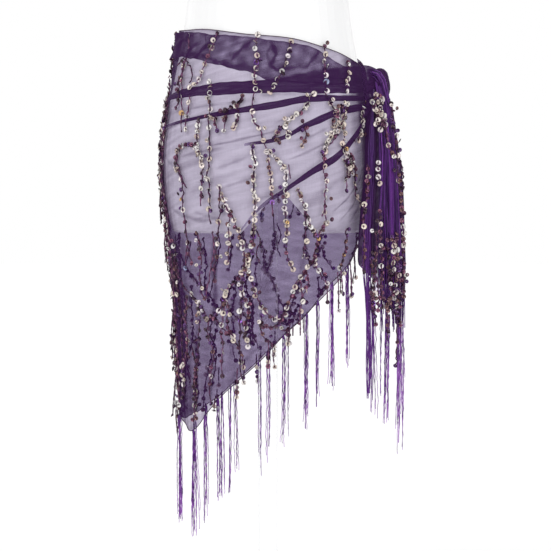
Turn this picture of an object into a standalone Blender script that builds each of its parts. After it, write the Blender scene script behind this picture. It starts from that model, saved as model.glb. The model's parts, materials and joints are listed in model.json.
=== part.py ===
"""Belly dance hip scarf, tied round a limbless hip form on a stand.

Frame: metres, +Z up, the wearer's front towards -Y, the knot at +X, the hanging point at -X.
The origin is the centre of the base's underside.

Places on the scarf are given by an angle round the hips and a height. The angle is 0 at the side fold
(-X), positive round the front to the knot and negative round the back.
"""

import math
from collections import namedtuple

import bmesh
import bpy
import numpy as np
from mathutils import Vector

# ---------------------------------------------------------------- driving sizes
GAP = 0.0003                # between pieces that touch
CLOTH_WALL = 0.0012         # wall of each stretch of cloth
LIE = 0.0010                # how far a turned or pleated stretch lies off the cloth under it
SIDE_SEAM = 0.004           # angle between the front and the back stretch at the side fold
FRONT_END = 2.88            # angle where the front stretch runs into the knot
BACK_END = -3.26            # angle where the back stretch does, past the side of the hips
BAND_SHORT = 0.04           # the turned-over edge and the pleats stop this angle short of it
SLIT_START = 2.55           # angle, front and back, where the hem turns up towards the knot
SLIT_STEP = 0.045           # columns of faces are this close past there
SIDE_CROWD = 0.45           # how much closer the columns are at the side fold, from 0 to 1
FRONT_COLUMNS = 24          # from the side fold to where the hem turns up
BACK_COLUMNS = 19
WRAP_ROWS = 17
BAND_ROWS = 2
FRINGE_END = 2.58           # angle of the last fringe strands, front and back
FRINGE_REACH = 0.175
FRINGE_WALL = 0.0015
FRINGE_LIE = 0.0020         # how far the fringe hangs off the cloth's outer face
FRINGE_BELOW = 0.0030       # how far the tails' fringe starts below their sloping foot

FORM_SEGMENTS = 48
FORM_TOP = 1.215
FORM_LOW_EDGE = 0.008       # rounding of the form's lower edge
ARCH_MIDDLE = 0.019         # the gap between the two thigh stubs, off the middle as one leg is turned out
ARCH_HALF_WIDTH = 0.060
ARCH_RISE = 0.062
ARCH_ROUND = 0.016

ROD_RADIUS = 0.016
ROD_TOP = 0.800
ROD_SEAT = 0.006            # the rod stands this high in the base
BASE_RADIUS = 0.170
BASE_THICK = 0.014
BASE_BOSS_RADIUS = 0.030
BASE_BOSS_HEIGHT = 0.030

# ---------------------------------------------------------------- tables
Section = namedtuple("Section", "height half_width half_depth")
Edge = namedtuple("Edge", "angle height")
Fold = namedtuple("Fold", "angle width depth start")
Pleat = namedtuple("Pleat", "angle height width")
Tail = namedtuple("Tail", "height left_x left_y right_x right_y depth")

FORM = (
    Section(0.700, 0.1535, 0.1105),
    Section(0.750, 0.1620, 0.1150),
    Section(0.800, 0.1665, 0.1175),
    Section(0.850, 0.1645, 0.1165),
    Section(0.911, 0.1550, 0.1115),
    Section(0.975, 0.1416, 0.1035),
    Section(1.033, 0.1312, 0.0965),
    Section(1.090, 0.1262, 0.0925),
    Section(1.150, 0.1310, 0.0950),
    Section(1.200, 0.1370, 0.0980),
)

CLOTH = (
    Section(0.380, 0.1390, 0.0300),
    Section(0.420, 0.1400, 0.0500),
    Section(0.480, 0.1420, 0.0780),
    Section(0.560, 0.1445, 0.0980),
    Section(0.640, 0.1525, 0.1100),
    Section(0.700, 0.1590, 0.1160),
    Section(0.740, 0.1640, 0.1183),
    Section(0.800, 0.1683, 0.1194),
    Section(0.850, 0.1664, 0.1184),
    Section(0.911, 0.1570, 0.1135),
    Section(0.975, 0.1437, 0.1056),
    Section(1.033, 0.1332, 0.0985),
    Section(1.060, 0.1305, 0.0965),
)

TOP_FRONT = (
    Edge(0.00, 1.019), Edge(0.40, 1.017), Edge(0.75, 1.016), Edge(1.33, 1.006), Edge(1.90, 0.998),
    Edge(2.20, 0.988), Edge(2.55, 0.976), Edge(2.88, 0.961),
)
TOP_BACK = (
    Edge(-3.26, 0.960), Edge(-2.80, 0.980), Edge(-2.30, 1.000), Edge(-1.50, 1.016),
    Edge(-0.75, 1.018), Edge(0.00, 1.019),
)
TURN_FRONT = (
    Edge(0.00, 0.974), Edge(0.40, 0.9745), Edge(0.75, 0.9685), Edge(1.00, 0.960), Edge(1.33, 0.949),
    Edge(1.65, 0.939), Edge(2.10, 0.9355), Edge(2.88, 0.935),
)
TURN_BACK = (
    Edge(-3.26, 0.935), Edge(-2.30, 0.940), Edge(-1.50, 0.952), Edge(-0.75, 0.966), Edge(0.00, 0.974),
)
HEM_FRONT = (
    Edge(0.00, 0.409), Edge(0.27, 0.402), Edge(0.55, 0.384), Edge(0.69, 0.396), Edge(0.96, 0.434),
    Edge(1.28, 0.474), Edge(1.51, 0.505), Edge(1.72, 0.539), Edge(2.00, 0.576), Edge(2.23, 0.617),
    Edge(2.45, 0.642), Edge(2.60, 0.667), Edge(2.71, 0.713), Edge(2.80, 0.790), Edge(2.88, 0.885),
)
HEM_BACK = (
    Edge(-3.26, 0.885), Edge(-3.10, 0.800), Edge(-2.90, 0.716), Edge(-2.65, 0.654), Edge(-2.23, 0.592),
    Edge(-1.72, 0.523), Edge(-1.29, 0.465), Edge(-0.70, 0.412), Edge(-0.30, 0.400), Edge(0.00, 0.409),
)

# Folds of the hanging cloth; each one deepens downwards from its start.
FOLDS = (
    Fold(-2.30, 0.16, 0.005, 0.76), Fold(-1.75, 0.15, 0.006, 0.75), Fold(-1.20, 0.13, 0.007, 0.77),
    Fold(-0.80, 0.11, 0.007, 0.78), Fold(-0.48, 0.09, 0.006, 0.79), Fold(-0.20, 0.08, 0.004, 0.80),
    Fold(0.08, 0.07, 0.003, 0.80), Fold(0.28, 0.08, 0.005, 0.80), Fold(0.50, 0.09, 0.007, 0.79),
    Fold(0.80, 0.10, 0.006, 0.78), Fold(1.15, 0.12, 0.005, 0.74), Fold(1.62, 0.16, 0.004, 0.70),
    Fold(2.15, 0.15, 0.004, 0.72),
)
FOLD_RUN = 0.30             # height over which a fold comes to its full depth
BUNCH = Fold(0.06, 0.20, 0.005, 0.975)      # the bunched top of the side fold
LIFT_START, LIFT_LOW, LIFT_OUT = 2.55, 0.86, 0.005      # the cloth lifts off the form towards the knot

PLEATS = {
    "pleat_front_1": (
        Pleat(0.15, 0.911, 0.008), Pleat(0.64, 0.918, 0.014), Pleat(1.30, 0.924, 0.020),
        Pleat(1.65, 0.9255, 0.019), Pleat(2.10, 0.924, 0.017), Pleat(2.84, 0.926, 0.013),
    ),
    "pleat_front_2": (
        Pleat(0.15, 0.864, 0.004), Pleat(0.88, 0.879, 0.006), Pleat(1.43, 0.892, 0.010),
        Pleat(1.65, 0.8975, 0.011), Pleat(1.92, 0.906, 0.011), Pleat(2.40, 0.909, 0.009),
        Pleat(2.84, 0.911, 0.008),
    ),
    "pleat_front_3": (
        Pleat(1.36, 0.8365, 0.004), Pleat(1.73, 0.8485, 0.007), Pleat(1.90, 0.8635, 0.009),
        Pleat(2.08, 0.8755, 0.011), Pleat(2.28, 0.887, 0.011), Pleat(2.53, 0.8935, 0.011),
        Pleat(2.84, 0.899, 0.008),
    ),
    "pleat_front_4": (
        Pleat(1.32, 0.707, 0.004), Pleat(1.46, 0.734, 0.006), Pleat(1.75, 0.7695, 0.008),
        Pleat(2.00, 0.797, 0.011), Pleat(2.24, 0.8175, 0.013), Pleat(2.52, 0.852, 0.011),
        Pleat(2.82, 0.886, 0.008),
    ),
    "pleat_back_1": (
        Pleat(-3.22, 0.926, 0.012), Pleat(-2.10, 0.930, 0.016), Pleat(-1.30, 0.932, 0.014),
        Pleat(-0.20, 0.915, 0.006),
    ),
    "pleat_back_2": (
        Pleat(-3.22, 0.911, 0.008), Pleat(-2.20, 0.906, 0.012), Pleat(-1.50, 0.889, 0.009),
        Pleat(-0.60, 0.866, 0.004),
    ),
    "pleat_back_3": (
        Pleat(-3.20, 0.898, 0.008), Pleat(-2.40, 0.858, 0.014), Pleat(-1.90, 0.803, 0.010),
        Pleat(-1.45, 0.744, 0.004),
    ),
}
PLEAT_RISE = (0.0, 1.0, 1.0, 0.0)   # height across a pleat, as a share of its crest
PLEAT_CREST = 0.0016

KNOT_CENTRE = Vector((0.1765, -0.024, 0.935))
KNOT_RADII = Vector((0.0155, 0.0210, 0.0240))
KNOT_LOBE = 0.10            # how far the two turns of the knot stand proud of the crease between them

TAILS = {
    "tail_front": (
        Tail(0.911, 0.1640, -0.0470, 0.1920, -0.0350, 0.003),
        Tail(0.870, 0.1610, -0.0560, 0.1980, -0.0370, 0.006),
        Tail(0.800, 0.1600, -0.0630, 0.2050, -0.0410, 0.008),
        Tail(0.720, 0.1540, -0.0680, 0.2110, -0.0410, 0.009),
        Tail(0.650, 0.1520, -0.0690, 0.2140, -0.0410, 0.009),
        Tail(0.570, 0.1570, -0.0670, 0.2130, -0.0430, 0.009),
    ),
    "tail_back": (
        Tail(0.911, 0.1710, -0.0260, 0.1940, -0.0130, 0.003),
        Tail(0.870, 0.1760, -0.0230, 0.2020, -0.0080, 0.005),
        Tail(0.800, 0.1830, -0.0190, 0.2130, 0.0000, 0.007),
        Tail(0.720, 0.1820, -0.0170, 0.2180, 0.0060, 0.008),
        Tail(0.650, 0.1800, -0.0170, 0.2190, 0.0100, 0.008),
        Tail(0.570, 0.1840, -0.0150, 0.2180, 0.0100, 0.008),
    ),
}
TailCut = namedtuple("TailCut", "turns left_height corner corner_height right_height fringe_low")
TAIL_CUTS = {
    "tail_front": TailCut(2.5, 0.640, 0.60, 0.572, 0.602, 0.400),
    "tail_back": TailCut(2.0, 0.622, 0.70, 0.580, 0.596, 0.345),
}
TAIL_COLUMNS, TAIL_ROWS = 16, 7

Paint = namedtuple("Paint", "colour roughness metallic")
PAINTS = {
    "form_plastic": Paint((0.86, 0.86, 0.87), 0.35, 0.0),
    "clear_acrylic": Paint((0.93, 0.94, 0.95), 0.05, 0.0),
    "base_metal": Paint((0.80, 0.80, 0.81), 0.35, 0.2),
    "violet_mesh": Paint((0.16, 0.08, 0.19), 0.75, 0.0),
    "violet_fringe": Paint((0.14, 0.04, 0.25), 0.45, 0.0),
}


# ---------------------------------------------------------------- reading the tables
def column(rows, name):
    """One named column of a table."""
    return np.array([getattr(row, name) for row in rows])


def smooth(xs, ys, x):
    """The cubic curve through (xs, ys) at x; its slope at each row comes from that row's neighbours."""
    slopes = np.gradient(ys, xs)
    i = int(np.clip(np.searchsorted(xs, x) - 1, 0, len(xs) - 2))
    step = xs[i + 1] - xs[i]
    t = float(np.clip((x - xs[i]) / step, 0.0, 1.0))
    start = (2 * t**3 - 3 * t**2 + 1) * ys[i] + (t**3 - 2 * t**2 + t) * step * slopes[i]
    end = (3 * t**2 - 2 * t**3) * ys[i + 1] + (t**3 - t**2) * step * slopes[i + 1]
    return float(start + end)


def read(rows, key, value, x):
    """A table's value column at x in its key column."""
    return smooth(column(rows, key), column(rows, value), x)


def edge_height(rows, angle):
    return read(rows, "angle", "height", angle)


def ramp(value, start, end):
    """0 at start, 1 at end, soft at both."""
    t = min(max((value - start) / (end - start), 0.0), 1.0)
    return t * t * (3 - 2 * t)


# ---------------------------------------------------------------- the cloth's surface
def drape(angle, height):
    """How far the cloth stands out from its plain section at a place."""
    out = 0.0
    for fold in FOLDS:
        grown = ramp(-height, -fold.start, FOLD_RUN - fold.start)
        out += fold.depth * grown * math.exp(-(((angle - fold.angle) / fold.width) ** 2))
    near = math.exp(-(((angle - BUNCH.angle) / BUNCH.width) ** 2))
    out += BUNCH.depth * near * ramp(height, BUNCH.start - 0.06, BUNCH.start)
    out += LIFT_OUT * ramp(abs(angle), LIFT_START, FRONT_END) * ramp(height, LIFT_LOW, LIFT_LOW + 0.04)
    return out


def cloth_point(angle, height, out=0.0):
    """The place at an angle and a height, moved out from the cloth's inner face."""
    half_width = read(CLOTH, "height", "half_width", height)
    half_depth = read(CLOTH, "height", "half_depth", height)
    place = Vector((-half_width * math.cos(angle), -half_depth * math.sin(angle), height))
    outwards = Vector((-math.cos(angle) / half_width, -math.sin(angle) / half_depth, 0.0)).normalized()
    return place + outwards * (out + drape(angle, height))


def columns(end, count, crowd=SIDE_CROWD):
    """Angles from the side fold to an end, in rising order: close together at the fold and at the knot."""
    reach = abs(end)
    turn = min(reach, SLIT_START)
    shares = np.linspace(0.0, 1.0, count)
    angles = list(SIDE_SEAM + (turn - SIDE_SEAM) * shares * (1 - crowd + crowd * shares))
    steps = math.ceil((reach - turn) / SLIT_STEP)
    angles += [turn + (reach - turn) * (step + 1) / steps for step in range(steps)]
    return angles if end > 0 else [-angle for angle in reversed(angles)]


def strip(angles, low, high, rows, out):
    """Rows of points between two edges of the cloth."""
    table = []
    for row in range(rows + 1):
        share = row / rows
        heights = [low(angle) * (1 - share) + high(angle) * share for angle in angles]
        table.append([cloth_point(angle, height, out) for angle, height in zip(angles, heights)])
    return table


# ---------------------------------------------------------------- making objects
def paint(name):
    """The Principled material of a name in PAINTS."""
    material = bpy.data.materials.get(name)
    if material is None:
        look = PAINTS[name]
        material = bpy.data.materials.new(name)
        material.use_nodes = True
        shader = material.node_tree.nodes["Principled BSDF"]
        shader.inputs["Base Color"].default_value = (*look.colour, 1.0)
        shader.inputs["Roughness"].default_value = look.roughness
        shader.inputs["Metallic"].default_value = look.metallic
    return material


def object_from(work, name, material):
    """An object from a bmesh, shaded smooth but for its sharp edges."""
    mesh = bpy.data.meshes.new(name)
    work.to_mesh(mesh)
    work.free()
    mesh.shade_smooth()
    mesh.set_sharp_from_angle(angle=math.radians(40))
    item = bpy.data.objects.new(name, mesh)
    item.data.materials.append(paint(material))
    bpy.context.scene.collection.objects.link(item)
    return item


def sheet(name, points, thickness, material):
    """A wall whose inner face is a table of points; it is thickened outwards."""
    work = bmesh.new()
    corners = [[work.verts.new(point) for point in row] for row in points]
    for low, high in zip(corners, corners[1:]):
        for a, b, c, d in zip(low, low[1:], high[1:], high):
            work.faces.new((a, b, c, d))
    item = object_from(work, name, material)
    wall = item.modifiers.new("wall", "SOLIDIFY")
    wall.thickness = thickness
    wall.offset = 1.0
    return item


def turned(name, rings, material):
    """A closed solid from level rings, lowest first; each ring is a list of points."""
    work = bmesh.new()
    levels = [[work.verts.new(point) for point in ring] for ring in rings]
    for low, high in zip(levels, levels[1:]):
        for i in range(len(low)):
            j = (i + 1) % len(low)
            work.faces.new((low[i], low[j], high[j], high[i]))
    work.faces.new(list(reversed(levels[0])))
    work.faces.new(levels[-1])
    return object_from(work, name, material)


def ring(half_width, half_depth, height, segments=FORM_SEGMENTS):
    """A level ellipse, anticlockwise from +X."""
    turns = [2 * math.pi * i / segments for i in range(segments)]
    return [Vector((half_width * math.cos(t), half_depth * math.sin(t), height)) for t in turns]


def hide(item):
    """Marks an object as a cutter."""
    item.hide_render = True
    item.display_type = "WIRE"


def cut(item, cutter):
    """Takes a cutter out of an object."""
    hole = item.modifiers.new(cutter.name, "BOOLEAN")
    hole.operation = "DIFFERENCE"
    hole.solver = "EXACT"
    hole.object = cutter
    hide(cutter)


# ---------------------------------------------------------------- form and stand
def form_rings():
    """The form's rings: a rounded lower edge, the hips and waist, and a low domed top."""
    rings = []
    for step in range(4):
        turn = math.radians(30 * step)
        inset = FORM_LOW_EDGE * (1 - math.sin(turn))
        height = FORM[0].height + FORM_LOW_EDGE * (1 - math.cos(turn))
        rings.append(ring(FORM[0].half_width - inset, FORM[0].half_depth - inset, height))
    for height in np.linspace(0.725, 1.200, 18):
        half_width = read(FORM, "height", "half_width", height)
        half_depth = read(FORM, "height", "half_depth", height)
        rings.append(ring(half_width, half_depth, height))
    for share in (0.55, 0.82, 0.96):
        height = 1.200 + (FORM_TOP - 1.200) * share
        inset = 1 - 0.16 * share**3
        rings.append(ring(FORM[-1].half_width * inset, FORM[-1].half_depth * inset, height))
    return rings


def arch_outline():
    """The gap between the thigh stubs, seen from the front: a narrow V with a rounded top."""
    low = FORM[0].height - 0.02
    top = FORM[0].height + ARCH_RISE
    slope = math.atan2(ARCH_HALF_WIDTH, ARCH_RISE)
    outline = [(ARCH_MIDDLE + side * ARCH_HALF_WIDTH * 1.3, low) for side in (-1, 1)]
    for step in range(7):
        turn = slope + (math.pi - 2 * slope) * step / 6
        x = ARCH_MIDDLE + ARCH_ROUND * math.cos(turn)
        outline.append((x, top - ARCH_ROUND + ARCH_ROUND * math.sin(turn)))
    return outline


def make_form():
    form = turned("form_body", form_rings(), "form_plastic")
    sides = []
    for depth in (0.2, -0.2):
        sides.append([Vector((x, depth, z)) for x, z in arch_outline()])
    arch = turned("arch_cutter", sides, "form_plastic")
    cut(form, arch)
    low = FORM[0].height - 0.02
    socket_rings = [ring(ROD_RADIUS + GAP, ROD_RADIUS + GAP, z, 32) for z in (low, ROD_TOP + GAP)]
    cut(form, turned("socket_cutter", socket_rings, "form_plastic"))


def make_stand():
    rod_rings = [ring(ROD_RADIUS, ROD_RADIUS, z, 32) for z in (ROD_SEAT + GAP, ROD_TOP)]
    turned("stand_rod", rod_rings, "clear_acrylic")
    profile = (
        (BASE_RADIUS - 0.002, 0.0),
        (BASE_RADIUS, 0.002),
        (BASE_RADIUS, BASE_THICK - 0.004),
        (BASE_RADIUS - 0.004, BASE_THICK),
        (BASE_BOSS_RADIUS + 0.010, BASE_THICK + 0.004),
        (BASE_BOSS_RADIUS, BASE_THICK + 0.010),
        (BASE_BOSS_RADIUS - 0.004, BASE_BOSS_HEIGHT),
    )
    base = turned("stand_base", [ring(r, r, z) for r, z in profile], "base_metal")
    seat_rings = [ring(ROD_RADIUS + GAP, ROD_RADIUS + GAP, z, 32) for z in (ROD_SEAT, BASE_BOSS_HEIGHT + 0.01)]
    cut(base, turned("seat_cutter", seat_rings, "base_metal"))


# ---------------------------------------------------------------- the scarf
def make_wraps():
    """The front and back stretches, from the hanging hem to the waist edge."""
    front = strip(
        columns(FRONT_END, FRONT_COLUMNS),
        lambda angle: edge_height(HEM_FRONT, angle),
        lambda angle: edge_height(TOP_FRONT, angle),
        WRAP_ROWS,
        0.0,
    )
    sheet("wrap_front", front, CLOTH_WALL, "violet_mesh")
    back = strip(
        columns(BACK_END, BACK_COLUMNS),
        lambda angle: edge_height(HEM_BACK, angle),
        lambda angle: edge_height(TOP_BACK, angle),
        WRAP_ROWS - 3,
        0.0,
    )
    sheet("wrap_back", back, CLOTH_WALL, "violet_mesh")


def make_bands():
    """The waist edge, turned over outwards and lying on the stretch below."""
    out = CLOTH_WALL + LIE
    front = strip(
        columns(FRONT_END - BAND_SHORT, FRONT_COLUMNS),
        lambda angle: edge_height(TURN_FRONT, angle),
        lambda angle: edge_height(TOP_FRONT, angle),
        BAND_ROWS,
        out,
    )
    sheet("band_front", front, CLOTH_WALL, "violet_mesh")
    back = strip(
        columns(BACK_END + BAND_SHORT, BACK_COLUMNS),
        lambda angle: edge_height(TURN_BACK, angle),
        lambda angle: edge_height(TOP_BACK, angle),
        BAND_ROWS,
        out,
    )
    sheet("band_back", back, CLOTH_WALL, "violet_mesh")


def make_pleat(name, rows):
    """A gathered pleat: an arched wall along its line, on the same columns as the wrap that it lies on."""
    first, last = rows[0].angle, rows[-1].angle
    wrap_columns = columns(FRONT_END, FRONT_COLUMNS) if last > 0 else columns(BACK_END, BACK_COLUMNS)
    angles = [first, *[angle for angle in wrap_columns if first + 0.01 < angle < last - 0.01], last]
    table = []
    across = np.linspace(-0.5, 0.5, len(PLEAT_RISE))
    for share, rise in zip(across, PLEAT_RISE):
        line = []
        for angle in angles:
            height = read(rows, "angle", "height", angle) + share * read(rows, "angle", "width", angle)
            line.append(cloth_point(angle, height, CLOTH_WALL + LIE + PLEAT_CREST * rise))
        table.append(line)
    sheet(name, table, CLOTH_WALL, "violet_mesh")


def make_knot():
    """The tie: a lump of two turns with a crease between them."""
    rings = []
    for step in range(1, 12):
        polar = math.pi * step / 12
        level = []
        for i in range(20):
            turn = 2 * math.pi * i / 20
            lobe = 1 + KNOT_LOBE * math.cos(2 * (turn + polar)) * math.sin(polar)
            reach = math.sin(polar) * lobe
            offset = Vector((reach * math.cos(turn), reach * math.sin(turn), -math.cos(polar)))
            level.append(KNOT_CENTRE + offset * KNOT_RADII)
        rings.append(level)
    turned("knot", rings, "violet_mesh")


def tail_point(rows, turns, share, height):
    """A place on a tail: share runs across it and the cloth zigzags in soft pleats."""
    left = Vector((read(rows, "height", "left_x", height), read(rows, "height", "left_y", height), height))
    right = Vector((read(rows, "height", "right_x", height), read(rows, "height", "right_y", height), height))
    along = (right - left).normalized()
    outwards = Vector((along.y, -along.x, 0.0))
    depth = read(rows, "height", "depth", height)
    return left.lerp(right, share) + outwards * depth * math.sin(2 * math.pi * turns * share)


def tail_foot(cut_, share):
    """Height of a tail's lower edge, which comes to a corner."""
    if share < cut_.corner:
        return cut_.left_height + (cut_.corner_height - cut_.left_height) * share / cut_.corner
    rest = (share - cut_.corner) / (1 - cut_.corner)
    return cut_.corner_height + (cut_.right_height - cut_.corner_height) * rest


def make_tail(name, rows, cut_):
    """One loose end of the scarf, and the fringe along its foot."""
    rows = tuple(reversed(rows))
    shares = np.linspace(0.0, 1.0, TAIL_COLUMNS)
    top = rows[-1].height
    cloth = []
    for row in range(TAIL_ROWS + 1):
        heights = [tail_foot(cut_, s) + (top - tail_foot(cut_, s)) * row / TAIL_ROWS for s in shares]
        cloth.append([tail_point(rows, cut_.turns, s, z) for s, z in zip(shares, heights)])
    sheet(name, cloth, CLOTH_WALL, "violet_mesh")
    fringe = []
    for row in range(3):
        line = []
        for share in shares:
            foot = tail_foot(cut_, share)
            place = tail_point(rows, cut_.turns, share, foot)
            place.z = cut_.fringe_low + (foot - FRINGE_BELOW - cut_.fringe_low) * row / 2
            line.append(place)
        fringe.append(line)
    sheet("fringe_" + name, fringe, FRINGE_WALL, "violet_fringe")


def make_fringe(name, angles, hem):
    """The fringe below a hem: a thin wall hanging straight down, as far as its strands reach."""
    out = CLOTH_WALL + FRINGE_LIE
    heads = [cloth_point(angle, edge_height(hem, angle), out) for angle in angles]
    table = []
    for row in range(3):
        drop = GAP + FRINGE_REACH * (1 - row / 2)
        table.append([head - Vector((0.0, 0.0, drop)) for head in heads])
    sheet(name, table, FRINGE_WALL, "violet_fringe")


def make_scarf():
    make_wraps()
    make_bands()
    for name, rows in PLEATS.items():
        make_pleat(name, rows)
    make_knot()
    for name, rows in TAILS.items():
        make_tail(name, rows, TAIL_CUTS[name])
    make_fringe("fringe_front", columns(FRINGE_END, FRONT_COLUMNS), HEM_FRONT)
    make_fringe("fringe_back", columns(-FRINGE_END, BACK_COLUMNS), HEM_BACK)


def main():
    for item in list(bpy.data.objects):
        bpy.data.objects.remove(item)
    make_form()
    make_stand()
    make_scarf()


main()
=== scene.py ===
"""Looks of the belly dance hip scarf and of the hip form that it is tied round.

Metres, +Z up, the wearer's front towards -Y, the knot at +X, the side fold at -X. A place on the scarf is
an angle round the hips and a height. The angle is 0 at the side fold, positive round the front to the knot
and negative round the back.
"""

import json
import math
from collections import namedtuple

import bpy
import numpy as np
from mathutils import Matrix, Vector

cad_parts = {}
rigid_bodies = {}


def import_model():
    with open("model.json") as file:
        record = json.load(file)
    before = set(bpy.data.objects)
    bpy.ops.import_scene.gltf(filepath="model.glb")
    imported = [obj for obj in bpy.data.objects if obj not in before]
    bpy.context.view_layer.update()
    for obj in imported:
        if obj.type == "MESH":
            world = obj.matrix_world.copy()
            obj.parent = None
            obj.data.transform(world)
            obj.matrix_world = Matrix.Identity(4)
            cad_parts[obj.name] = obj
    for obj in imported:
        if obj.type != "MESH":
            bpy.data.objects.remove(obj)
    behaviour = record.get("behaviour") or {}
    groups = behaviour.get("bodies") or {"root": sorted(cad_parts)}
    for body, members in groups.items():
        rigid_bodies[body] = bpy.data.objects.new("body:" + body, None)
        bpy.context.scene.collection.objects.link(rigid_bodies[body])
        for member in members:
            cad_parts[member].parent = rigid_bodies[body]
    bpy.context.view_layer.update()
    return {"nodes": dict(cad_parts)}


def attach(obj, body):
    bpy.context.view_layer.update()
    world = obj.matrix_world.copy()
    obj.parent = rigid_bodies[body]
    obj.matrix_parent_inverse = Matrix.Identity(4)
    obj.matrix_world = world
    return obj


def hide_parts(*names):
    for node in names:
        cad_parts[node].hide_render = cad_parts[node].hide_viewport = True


for item in list(bpy.data.objects):
    bpy.data.objects.remove(item)
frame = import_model()

# ---------------------------------------------------------------- camera
PICTURE_AIM = Vector((0.012, 0.0, 0.6304))
PICTURE_DISTANCE = 2.8
PICTURE_ELEVATION = math.radians(3.0)
PICTURE_HALF_SIZE = 0.4408      # half the picture's width at the aim

# ---------------------------------------------------------------- driving sizes, as in the CAD model
CLOTH_WALL = 0.0012
LIE = 0.0010
FRONT_END = 2.88
BACK_END = -3.26
BAND_SHORT = 0.04
FRINGE_LIE = 0.0020
FRINGE_BELOW = 0.0030
FOLD_RUN = 0.30
LIFT_START, LIFT_LOW, LIFT_OUT = 2.55, 0.86, 0.005
KNOT_CENTRE = np.array((0.1765, -0.024, 0.935))
KNOT_RADII = np.array((0.0155, 0.0210, 0.0240))

# ---------------------------------------------------------------- sizes of the looks
SKIN = 0.0006               # the drawn cloth runs in the middle of its wall
GIRTH_RADIUS = 0.145        # turns an angle round the hips into a length along the cloth
THREAD_PITCH = 0.0016       # spacing of the mesh's threads
SEEN_THROUGH = 0.56         # share of light that one layer of the mesh lets by between its threads
HEM_RADIUS = 0.0007
YARN_RADIUS = 0.0011        # the yarn that the sequins hang on
STRAND_RADIUS = 0.00062     # one strand of the fringe
SEQUIN_RADIUS = 0.0045
PLY_STEP = 0.0030           # spacing of the places where the yarn swells and changes its tone
HAIR_SPACING = 0.0013       # one short hair for each such length of yarn
HAIR_HALF_WIDTH = 0.00022
STITCH_RADII = np.array((0.00045, 0.00035, 0.0002))
SEQUIN_LIE = 0.0040         # how far the sequins' middles lie off the cloth's inner face

Section = namedtuple("Section", "height half_width half_depth")
Edge = namedtuple("Edge", "angle height")
Fold = namedtuple("Fold", "angle width depth start")
Pleat = namedtuple("Pleat", "angle height width")
Tail = namedtuple("Tail", "height left_x left_y right_x right_y depth")
TailCut = namedtuple("TailCut", "turns left_height corner corner_height right_height fringe_low inner")

CLOTH = (
    Section(0.380, 0.1390, 0.0300),
    Section(0.420, 0.1400, 0.0500),
    Section(0.480, 0.1420, 0.0780),
    Section(0.560, 0.1445, 0.0980),
    Section(0.640, 0.1525, 0.1100),
    Section(0.700, 0.1590, 0.1160),
    Section(0.740, 0.1640, 0.1183),
    Section(0.800, 0.1683, 0.1194),
    Section(0.850, 0.1664, 0.1184),
    Section(0.911, 0.1570, 0.1135),
    Section(0.975, 0.1437, 0.1056),
    Section(1.033, 0.1332, 0.0985),
    Section(1.060, 0.1305, 0.0965),
)
TOP_FRONT = (
    Edge(0.00, 1.019), Edge(0.40, 1.017), Edge(0.75, 1.016), Edge(1.33, 1.006), Edge(1.90, 0.998),
    Edge(2.20, 0.988), Edge(2.55, 0.976), Edge(2.88, 0.961),
)
TOP_BACK = (
    Edge(-3.26, 0.960), Edge(-2.80, 0.980), Edge(-2.30, 1.000), Edge(-1.50, 1.016),
    Edge(-0.75, 1.018), Edge(0.00, 1.019),
)
TURN_FRONT = (
    Edge(0.00, 0.974), Edge(0.40, 0.9745), Edge(0.75, 0.9685), Edge(1.00, 0.960), Edge(1.33, 0.949),
    Edge(1.65, 0.939), Edge(2.10, 0.9355), Edge(2.88, 0.935),
)
TURN_BACK = (
    Edge(-3.26, 0.935), Edge(-2.30, 0.940), Edge(-1.50, 0.952), Edge(-0.75, 0.966), Edge(0.00, 0.974),
)
HEM_FRONT = (
    Edge(0.00, 0.409), Edge(0.27, 0.402), Edge(0.55, 0.384), Edge(0.69, 0.396), Edge(0.96, 0.434),
    Edge(1.28, 0.474), Edge(1.51, 0.505), Edge(1.72, 0.539), Edge(2.00, 0.576), Edge(2.23, 0.617),
    Edge(2.45, 0.642), Edge(2.60, 0.667), Edge(2.71, 0.713), Edge(2.80, 0.790), Edge(2.88, 0.885),
)
HEM_BACK = (
    Edge(-3.26, 0.885), Edge(-3.10, 0.800), Edge(-2.90, 0.716), Edge(-2.65, 0.654), Edge(-2.23, 0.592),
    Edge(-1.72, 0.523), Edge(-1.29, 0.465), Edge(-0.70, 0.412), Edge(-0.30, 0.400), Edge(0.00, 0.409),
)
FOLDS = (
    Fold(-2.30, 0.16, 0.005, 0.76), Fold(-1.75, 0.15, 0.006, 0.75), Fold(-1.20, 0.13, 0.007, 0.77),
    Fold(-0.80, 0.11, 0.007, 0.78), Fold(-0.48, 0.09, 0.006, 0.79), Fold(-0.20, 0.08, 0.004, 0.80),
    Fold(0.08, 0.07, 0.003, 0.80), Fold(0.28, 0.08, 0.005, 0.80), Fold(0.50, 0.09, 0.007, 0.79),
    Fold(0.80, 0.10, 0.006, 0.78), Fold(1.15, 0.12, 0.005, 0.74), Fold(1.62, 0.16, 0.004, 0.70),
    Fold(2.15, 0.15, 0.004, 0.72),
)
BUNCH = Fold(0.06, 0.20, 0.005, 0.975)
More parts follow.
